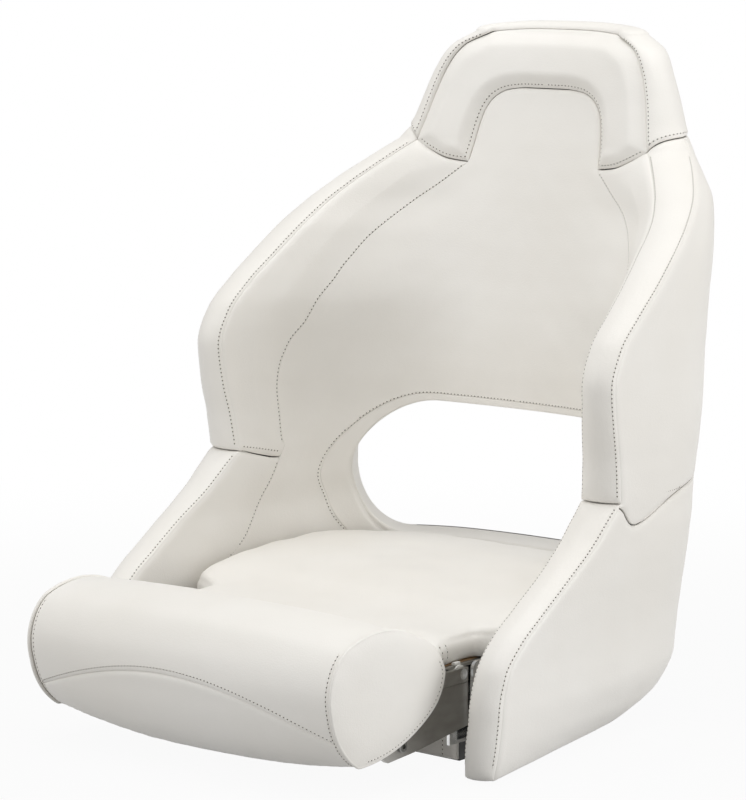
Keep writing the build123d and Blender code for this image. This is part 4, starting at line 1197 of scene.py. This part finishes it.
def piping(name, line):
    """A round cord of mesh along a closed line."""
    forward = np.roll(line, -1, axis=0) - np.roll(line, 1, axis=0)
    forward /= span(forward)[:, None]
    guide = np.where(np.abs(forward[:, :1]) > 0.8, [[0.0, 0.0, 1.0]], [[1.0, 0.0, 0.0]])
    across = np.cross(forward, guide)
    across /= span(across)[:, None]
    upward = np.cross(forward, across)
    angle = np.linspace(0, 2 * pi, piping_sides, endpoint=False)[None, :, None]
    ring = (line[:, None] + across[:, None] * np.cos(angle) * piping_radius
            + upward[:, None] * np.sin(angle) * piping_radius)
    index = closed(numbered(len(line), piping_sides))
    return make_object(name, ring.reshape(-1, 3), quads(index).tolist())


# Cushion


def cushion_half_at(along):
    """Half the width between the walls, at the cushion's level."""
    level = np.full(np.shape(along), cushion_level_share * tub_height)
    return inner.point(level, inner.find(level, along, 1), -cushion_wall_gap)[..., 0]


def cushion_grid():
    """The cushion's plain form, as loops across it from the front to the rear."""
    table = np.array(cushion_station_shares)
    count = int((table[-1, 0] - table[0, 0]) * tub_depth / cushion_step)
    along = np.linspace(table[0, 0], table[-1, 0], count)
    spread, side_share, crown_share_at = smooth(table[:, 0], table[:, 1:], along).T
    along = along * tub_depth
    half = cushion_half + (cushion_half_at(along) - cushion_half) * spread
    seam = cushion_base + cushion_side_height * side_share
    turn = np.linspace(0, pi / 2, 12, endpoint=False)
    loops = []
    for place, wide, side, crown in zip(along, half, seam, cushion_crown * crown_share_at):
        edge = wide - cushion_side_draw
        roll_end = wide - cushion_roll
        roll_height = side + crown * cushion_roll_rise_share
        under = np.stack([np.linspace(0, edge, 14, endpoint=False), np.full(14, cushion_base)], -1)
        wall = arc((edge, cushion_base), (wide, (cushion_base + side) / 2), (edge, side), 8)
        roll = np.stack([roll_end + (edge - roll_end) * np.cos(turn),
                         side + (roll_height - side) * np.sin(turn)], -1)
        top = arc((roll_end, roll_height), (0, side + crown), (-roll_end, roll_height), 60)
        right = np.concatenate([under, wall, roll, top[:31]])
        loop = np.concatenate([right, right[1:-1][::-1] * [-1, 1]])
        loops.append(np.stack([loop[:, 0], np.full(len(loop), place), loop[:, 1]], -1))
    return np.stack(loops), along, half, seam


def read(mesh, kind="co"):
    values = np.empty(len(mesh.vertices) * 3)
    mesh.vertices.foreach_get(kind, values)
    return values.reshape(-1, 3)


def write(mesh, points):
    mesh.vertices.foreach_set("co", points.ravel())
    mesh.update()


def swell(piece):
    """Evens a closed form's mesh and blows it up as cloth, with a limit on the move."""
    remesh = piece.modifiers.new("even", "REMESH")
    remesh.mode = "VOXEL"
    remesh.voxel_size = cushion_voxel
    apply_modifiers(piece)
    points = read(piece.data)
    cloth = piece.modifiers.new("cloth", "CLOTH")
    cloth.settings.quality = 5
    cloth.settings.mass = 0.3
    cloth.settings.tension_stiffness = 30
    cloth.settings.compression_stiffness = 30
    cloth.settings.bending_stiffness = 2.0
    cloth.settings.use_pressure = True
    cloth.settings.uniform_pressure_force = cushion_pressure
    cloth.settings.effector_weights.gravity = 0
    cloth.point_cache.frame_start = 1
    cloth.point_cache.frame_end = cushion_frames
    for number in range(1, cushion_frames + 1):
        bpy.context.scene.frame_set(number)
    blown = piece.evaluated_get(bpy.context.evaluated_depsgraph_get())
    move = read(blown.to_mesh()) - points
    blown.to_mesh_clear()
    piece.modifiers.clear()
    bpy.context.scene.frame_set(1)
    size = span(move)
    limit = cushion_move_limit * np.tanh(size / cushion_move_limit) / np.maximum(size, 1e-9)
    return points + move * limit[:, None]


def seat_cushion():
    """The seat cushion: blown up as cloth, then seamed."""
    grid, along, half, seam = cushion_grid()
    index = numbered(*grid.shape[:2])
    faces = quads(index).tolist() + [index[0, :-1].tolist(), index[-1, -2::-1].tolist()]
    cushion = make_object("seat_cushion", grid.reshape(-1, 3), faces)
    points = swell(cushion)
    points[:, 2] = np.maximum(points[:, 2], cushion_base)
    write(cushion.data, points)
    divide = cushion.modifiers.new("fine", "SUBSURF")
    divide.levels = 1
    divide.render_levels = 1
    apply_modifiers(cushion)
    seams, uprights = cushion_seams(along, half, seam)
    points = read(cushion.data)
    sink = settle(points, [(line, boxing_roll) for line in seams + uprights]) + unevenness(points)
    write(cushion.data, points - read(cushion.data, "normal") * sink[:, None])
    dress(cushion, "bucket", "seat_cushion", fill=0.85)
    return cushion, uprights


def cushion_seams(along, half, seam):
    """The boxing seam down each side, and the upright seam at each front corner."""
    seams, uprights = [], []
    corner = np.searchsorted(along, cushion_station_shares[1][0] * tub_depth)
    for side in (1, -1):
        edge = (half - cushion_side_draw) * side
        seams.append(np.stack([edge, along, seam], -1)[corner:])
        rise = np.linspace(cushion_base, seam[corner], 12)
        uprights.append(np.stack([np.full(12, edge[corner]), np.full(12, along[corner]), rise], -1))
    return seams, uprights


# Apron


def front_apron():
    """The upholstered panel under the cushion's front."""
    low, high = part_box("front_apron")
    z = cut(low[2], high[2], ladder(high[2] - low[2], grid_step))[:, None]
    x = cut(low[0], high[0], ladder(high[0] - low[0], grid_step))[None]
    x, y, z = np.broadcast_arrays(x, low[1], z)
    plain = np.stack([x, y, z], -1)
    corners = np.array([(x, low[1], z) for x, z in (
        (low[0], low[2]), (high[0], low[2]), (high[0], high[2]), (low[0], high[2]), (low[0], low[2]))])
    seam_across = high[0] - apron_seam_inset
    seams = [np.array([(side * seam_across, low[1], end[2]) for end in (low, high)]) for side in (-1, 1)]
    sink = settle(plain, [(corners, apron_roll)] + [(line, apron_seam_roll) for line in seams])
    front, back = plain.copy(), plain.copy()
    front[..., 1] += sink
    back[..., 1] = high[1] - apron_back_gap
    apron = shell("front_apron", front, back)
    return dress(apron, "bucket", "front_apron", fill=0.7), seams


# Stitches


def bead(length, width, height, rings, sides=6):
    """A small rounded bar lying along X, as points and faces."""
    place = np.linspace(-1, 1, rings)
    radius = np.sqrt(np.clip(1 - place ** 2, 0.02, 1))[:, None] ** 0.7
    angle = np.linspace(0, 2 * pi, sides, endpoint=False)
    points = np.stack([
        np.repeat(place * length / 2, sides),
        (radius * np.cos(angle) * width / 2).ravel(),
        (radius * np.sin(angle) * height / 2).ravel(),
    ], -1)
    index = numbered(rings, sides)
    return points, quads(index).tolist() + [index[0, -2::-1].tolist(), index[-1, :-1].tolist()]


thread_bead = bead(*thread_size, rings=6)
# The second bead is painted shade for a needle hole.
hole_shade_bead = bead(*hole_shade_size, rings=4)


def stitches(name, body, rows, slant=thread_slant):
    """Rows of stitches and of dark beads of painted shade for the needle holes, laid on pieces, given as
    piece and line, as one piece.
    """
    trees = {target: BVHTree.FromPolygons([v.co for v in target.data.vertices],
                                          [p.vertices for p in target.data.polygons])
             for target in {row[0] for row in rows}}
    points, faces, marks, total = [], [], [], 0
    turn = radians(slant)
    for target, line in rows:
        path = spaced(line, max(int(travel(line)[-1] / stitch_pitch), 1) + 1)
        middle = (path[1:] + path[:-1]) / 2
        forward = np.diff(path, axis=0)
        # The beads between the stitches are painted shade: dark beads for the shadow in the needle holes.
        for centres, (bead_points, bead_faces), is_hole_shade in (
                (middle, thread_bead, False), (path[1:-1], hole_shade_bead, True)):
            for number, centre in enumerate(centres):
                spot, normal, _, _ = trees[target].find_nearest(Vector(centre))
                if spot is None:
                    continue
                along = Vector(forward[number])
                along = (along - normal * along.dot(normal)).normalized()
                side = normal.cross(along)
                if not is_hole_shade:
                    along, side = (along * np.cos(turn) + side * np.sin(turn),
                                   side * np.cos(turn) - along * np.sin(turn))
                lift = hole_shade_lift if is_hole_shade else thread_lift
                basis = np.array([along, side, normal])
                points.append(bead_points @ basis + np.array(spot) + np.array(normal) * lift)
                faces += [[i + total for i in face] for face in bead_faces]
                marks += [is_hole_shade] * len(bead_faces)
                total += len(bead_points)
    mesh = bpy.data.meshes.new(name)
    mesh.from_pydata(np.concatenate(points).tolist(), [], faces)
    mesh.materials.append(thread)
    mesh.materials.append(hole_shade)
    mesh.polygons.foreach_set("material_index", np.array(marks, dtype=np.int32))
    mesh.shade_smooth()
    piece = put(name, mesh)
    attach(piece, body)


def rim_row(low, high, from_inner):
    """A line on the rim's face, a stitch's offset from one of its seams."""
    heights = np.linspace(low + rim_row_start, high - rim_row_end, 160)
    place = stitch_offset / rim_width(heights)
    return rim_grid(heights, place if from_inner else 1 - place)


def both_sides(pieces, line):
    """A row on a right-hand piece, and its mirror image on the left-hand one."""
    return list(zip(pieces, (line, flipped(line))))


def seam_row(low, high, count):
    """A line beside the seam between the side pads and the back panel."""
    heights = np.linspace(low, high, count)
    return inner.point(heights, seam_run(heights) - flat_offset)


def bucket_stitches(arms, wings, arm_rims, shoulder_rims, panel, pad, head):
    """Every stitch row of the bucket, from its seams."""
    for name, strips, low, high in (("arm_rim_stitches", arm_rims, arm_rim_row_bottom, elbow),
                                    ("shoulder_rim_stitches", shoulder_rims, elbow, neck)):
        rows = both_sides(strips, rim_row(low, high, True)) + both_sides(strips, rim_row(low, high, False))
        stitches(name, "bucket", rows)

    elbow_row = elbow_seam(np.linspace(0.04, 0.96, 40), stitch_offset + elbow_row_extra)
    stitches("side_seam_stitches", "bucket",
             both_sides(arms, seam_row(arm_row_bottom, elbow - elbow_drop - elbow_row_gap, 120))
             + both_sides(wings, seam_row(elbow + rim_row_end, horseshoe_foot - rim_row_end, 200))
             + both_sides(wings, elbow_row))
    ring_row = ring_point(np.linspace(0, 1, 400), ring_seam_outline, flat_offset)
    stitches("ring_stitches", "bucket", [(panel, ring_row)])

    inner_line, outer_line = headrest_edges(np.linspace(0, 1, 300))
    toward = outer_line - inner_line
    edge_row = on_inner(inner_line + toward / span(toward)[:, None] * stitch_offset)
    foot_row = on_inner(foot_edge(np.linspace(0.06, 0.94, 30), stitch_offset))
    stitches("headrest_stitches", "bucket",
             both_sides([pad, pad], edge_row) + both_sides([pad, pad], foot_row))

    runs = np.linspace(0.004, float(outer.length(elbow)), 260)
    upper = outer.point(elbow_line(runs) + stitch_offset, runs)
    stitches("elbow_stitches", "bucket", both_sides([nodes["upper_back_cover"]] * 2, upper))
    top_runs = np.linspace(0.003, float(outer.length(neck)), 120)
    rim_place = np.linspace(0.04, 1, 24)
    rim_height = collar(rim_place * rim_width(neck)) + stitch_offset
    back_height = collar(rim_width(neck) + top_runs) + stitch_offset
    collar_row = np.concatenate([rim_grid(rim_height, rim_place), outer.point(back_height, top_runs)])
    stitches("collar_stitches", "bucket",
             both_sides([head, head], collar_row) + both_sides([head, head], rim_row(neck, brow, True)))


def bolster_stitches(cover, caps):
    """The stitch rows of the bolster."""
    across = np.linspace(-1, 1, 200) * (bolster_half - rim_row_start)
    rows = [(cover, bolster_point(across, arch_place(across) + stitch_offset / outline_length))]
    at = np.linspace(*bolster_end_turns)
    for side in (1, -1):
        place = np.full(at.shape, side * (bolster_half - bolster_end_offset))
        rows.append((cover, bolster_point(place, at)))
    stitches("bolster_stitches", "bolster", rows, bolster_slant)
    edge = ring_value(outline, np.linspace(*cap_row_turns))
    flat = outline_centre + (edge - outline_centre) * cap_row_share
    cap_row = np.stack([np.full(len(flat), cap_base + cap_dome), *flat.T], -1)
    stitches("cap_stitches", "bolster", both_sides(caps, cap_row))


# The seat


def seat():
    arms = side_pads("arm_pad", elbow, arm_pad_width, arm_pad_ends, (0.0, elbow, 120), arm_crown)
    wings = side_pads("side_bolster", neck - elbow, wing_pad_width, wing_pad_ends,
                      (elbow - elbow_drop, neck, 160), wing_crown)
    arm_rims = rim_strip("arm_rim", cover_bottom, elbow - seam_gap)
    shoulder_rims = rim_strip("shoulder_rim", elbow + seam_gap, neck)
    panel = back_panel()
    opening_ring()
    back_covers()
    pad = headrest_pad()
    head = headrest_cover()
    bolster = bolster_cover()
    caps = [bolster_cap(1, "right"), bolster_cap(-1, "left")]
    cushion, uprights = seat_cushion()
    apron, apron_seams = front_apron()
    bucket_stitches(arms, wings, arm_rims, shoulder_rims, panel, pad, head)
    bolster_stitches(bolster, caps)
    stitches("cushion_stitches", "bucket",
             [(cushion, line + [0, side * twin_offset, 0]) for line in uprights for side in (-1, 1)])
    stitches("apron_stitches", "bucket",
             [(apron, line + [side * twin_offset, 0, 0]) for line, side in zip(apron_seams, (1, -1))])


# Floor, light and camera

floor_reach = 14.0
floor_level = -0.0006
floor_grey = 0.47
shadow_white = 0.94
shadow_fade = (0.5, 1.5)
ambient_light = 0.52
camera_place = (2.1558, -2.6372, 0.8390)
camera_down = 8.5725
camera_round = 40.0
camera_lens = 148.5
lamps = [
    ("top_softbox", (0.1, -0.3, 2.6), (0, 0, 0.3), (2.4, 2.0), 32),
    ("side_softbox", (2.6, 0.6, 0.7), (0, 0, 0.25), (1.8, 1.2), 27),
    ("front_fill", (-1.6, -2.6, 1.1), (0, 0, 0.3), (2.0, 1.8), 20),
]


def stage_material():
    """White for the camera and for reflections, plain and pale under the shadow."""
    material = bpy.data.materials.new("studio_floor")
    material.use_nodes = True
    tree = material.node_tree
    tree.nodes.clear()
    out = add(tree, "OutputMaterial")
    matte = add(tree, "BsdfDiffuse", Color=(floor_grey, floor_grey, floor_grey, 1))
    glow = add(tree, "Emission", Color=(1, 1, 1, 1))
    seen = add(tree, "LightPath")
    direct = add(tree, "Math", operation="MAXIMUM")
    white = add(tree, "Math", operation="MAXIMUM")
    share = add(tree, "Math", operation="MULTIPLY")
    place = add(tree, "TexCoord")
    reach = add(tree, "VectorMath", operation="LENGTH")
    fade = add(tree, "MapRange", interpolation_type="SMOOTHSTEP", From_Min=shadow_fade[0],
               From_Max=shadow_fade[1], To_Min=shadow_white, To_Max=1.0)
    mix = add(tree, "MixShader")
    wire(tree, (place, "Object", reach, 0), (reach, "Value", fade, "Value"), (fade, "Result", share, 1),
         (seen, "Is Camera Ray", direct, 0), (seen, "Is Glossy Ray", direct, 1),
         (direct, 0, white, 0), (seen, "Is Transmission Ray", white, 1), (white, 0, share, 0),
         (share, 0, mix, "Fac"), (matte, 0, mix, 1), (glow, 0, mix, 2), (mix, 0, out, "Surface"))
    return material


def stage():
    mesh = bpy.data.meshes.new("studio_floor")
    corners = [(x * floor_reach, y * floor_reach, floor_level)
               for x, y in ((-1, -1), (1, -1), (1, 1), (-1, 1))]
    mesh.from_pydata(corners, [], [(0, 1, 2, 3)])
    mesh.materials.append(stage_material())
    put("studio_floor", mesh)


def surroundings():
    """White where the camera looks and for rays that pass through, and a softer even light elsewhere."""
    world = bpy.data.worlds.new("studio")
    bpy.context.scene.world = world
    world.use_nodes = True
    tree = world.node_tree
    tree.nodes.clear()
    out = add(tree, "OutputWorld")
    even_light = add(tree, "Background", Color=(1.0, 0.995, 0.985, 1), Strength=ambient_light)
    white = add(tree, "Background", Color=(1, 1, 1, 1), Strength=1.0)
    seen = add(tree, "LightPath")
    mix = add(tree, "MixShader")
    either = add(tree, "Math", operation="MAXIMUM")
    wire(tree, (seen, "Is Camera Ray", either, 0), (seen, "Is Transmission Ray", either, 1),
         (either, 0, mix, "Fac"), (even_light, 0, mix, 1), (white, 0, mix, 2), (mix, 0, out, "Surface"))


def lamp(name, place, target, size, power):
    data = bpy.data.lights.new(name, "AREA")
    data.shape = "RECTANGLE"
    data.size, data.size_y = size
    data.energy = power
    made = put(name, data)
    made.location = place
    made.rotation_euler = (Vector(target) - Vector(place)).to_track_quat("-Z", "Y").to_euler()


def camera():
    """The photograph's view, solved from the seat's own edges."""
    data = bpy.data.cameras.new("photo_view")
    data.sensor_width = 36.0
    data.lens = camera_lens
    made = put("photo_view", data)
    made.location = camera_place
    made.rotation_euler = (radians(90 - camera_down), 0, radians(camera_round))
    bpy.context.scene.camera = made


seat()
stage()
surroundings()
for row in lamps:
    lamp(*row)
camera()
bpy.context.scene.view_settings.view_transform = "Standard"
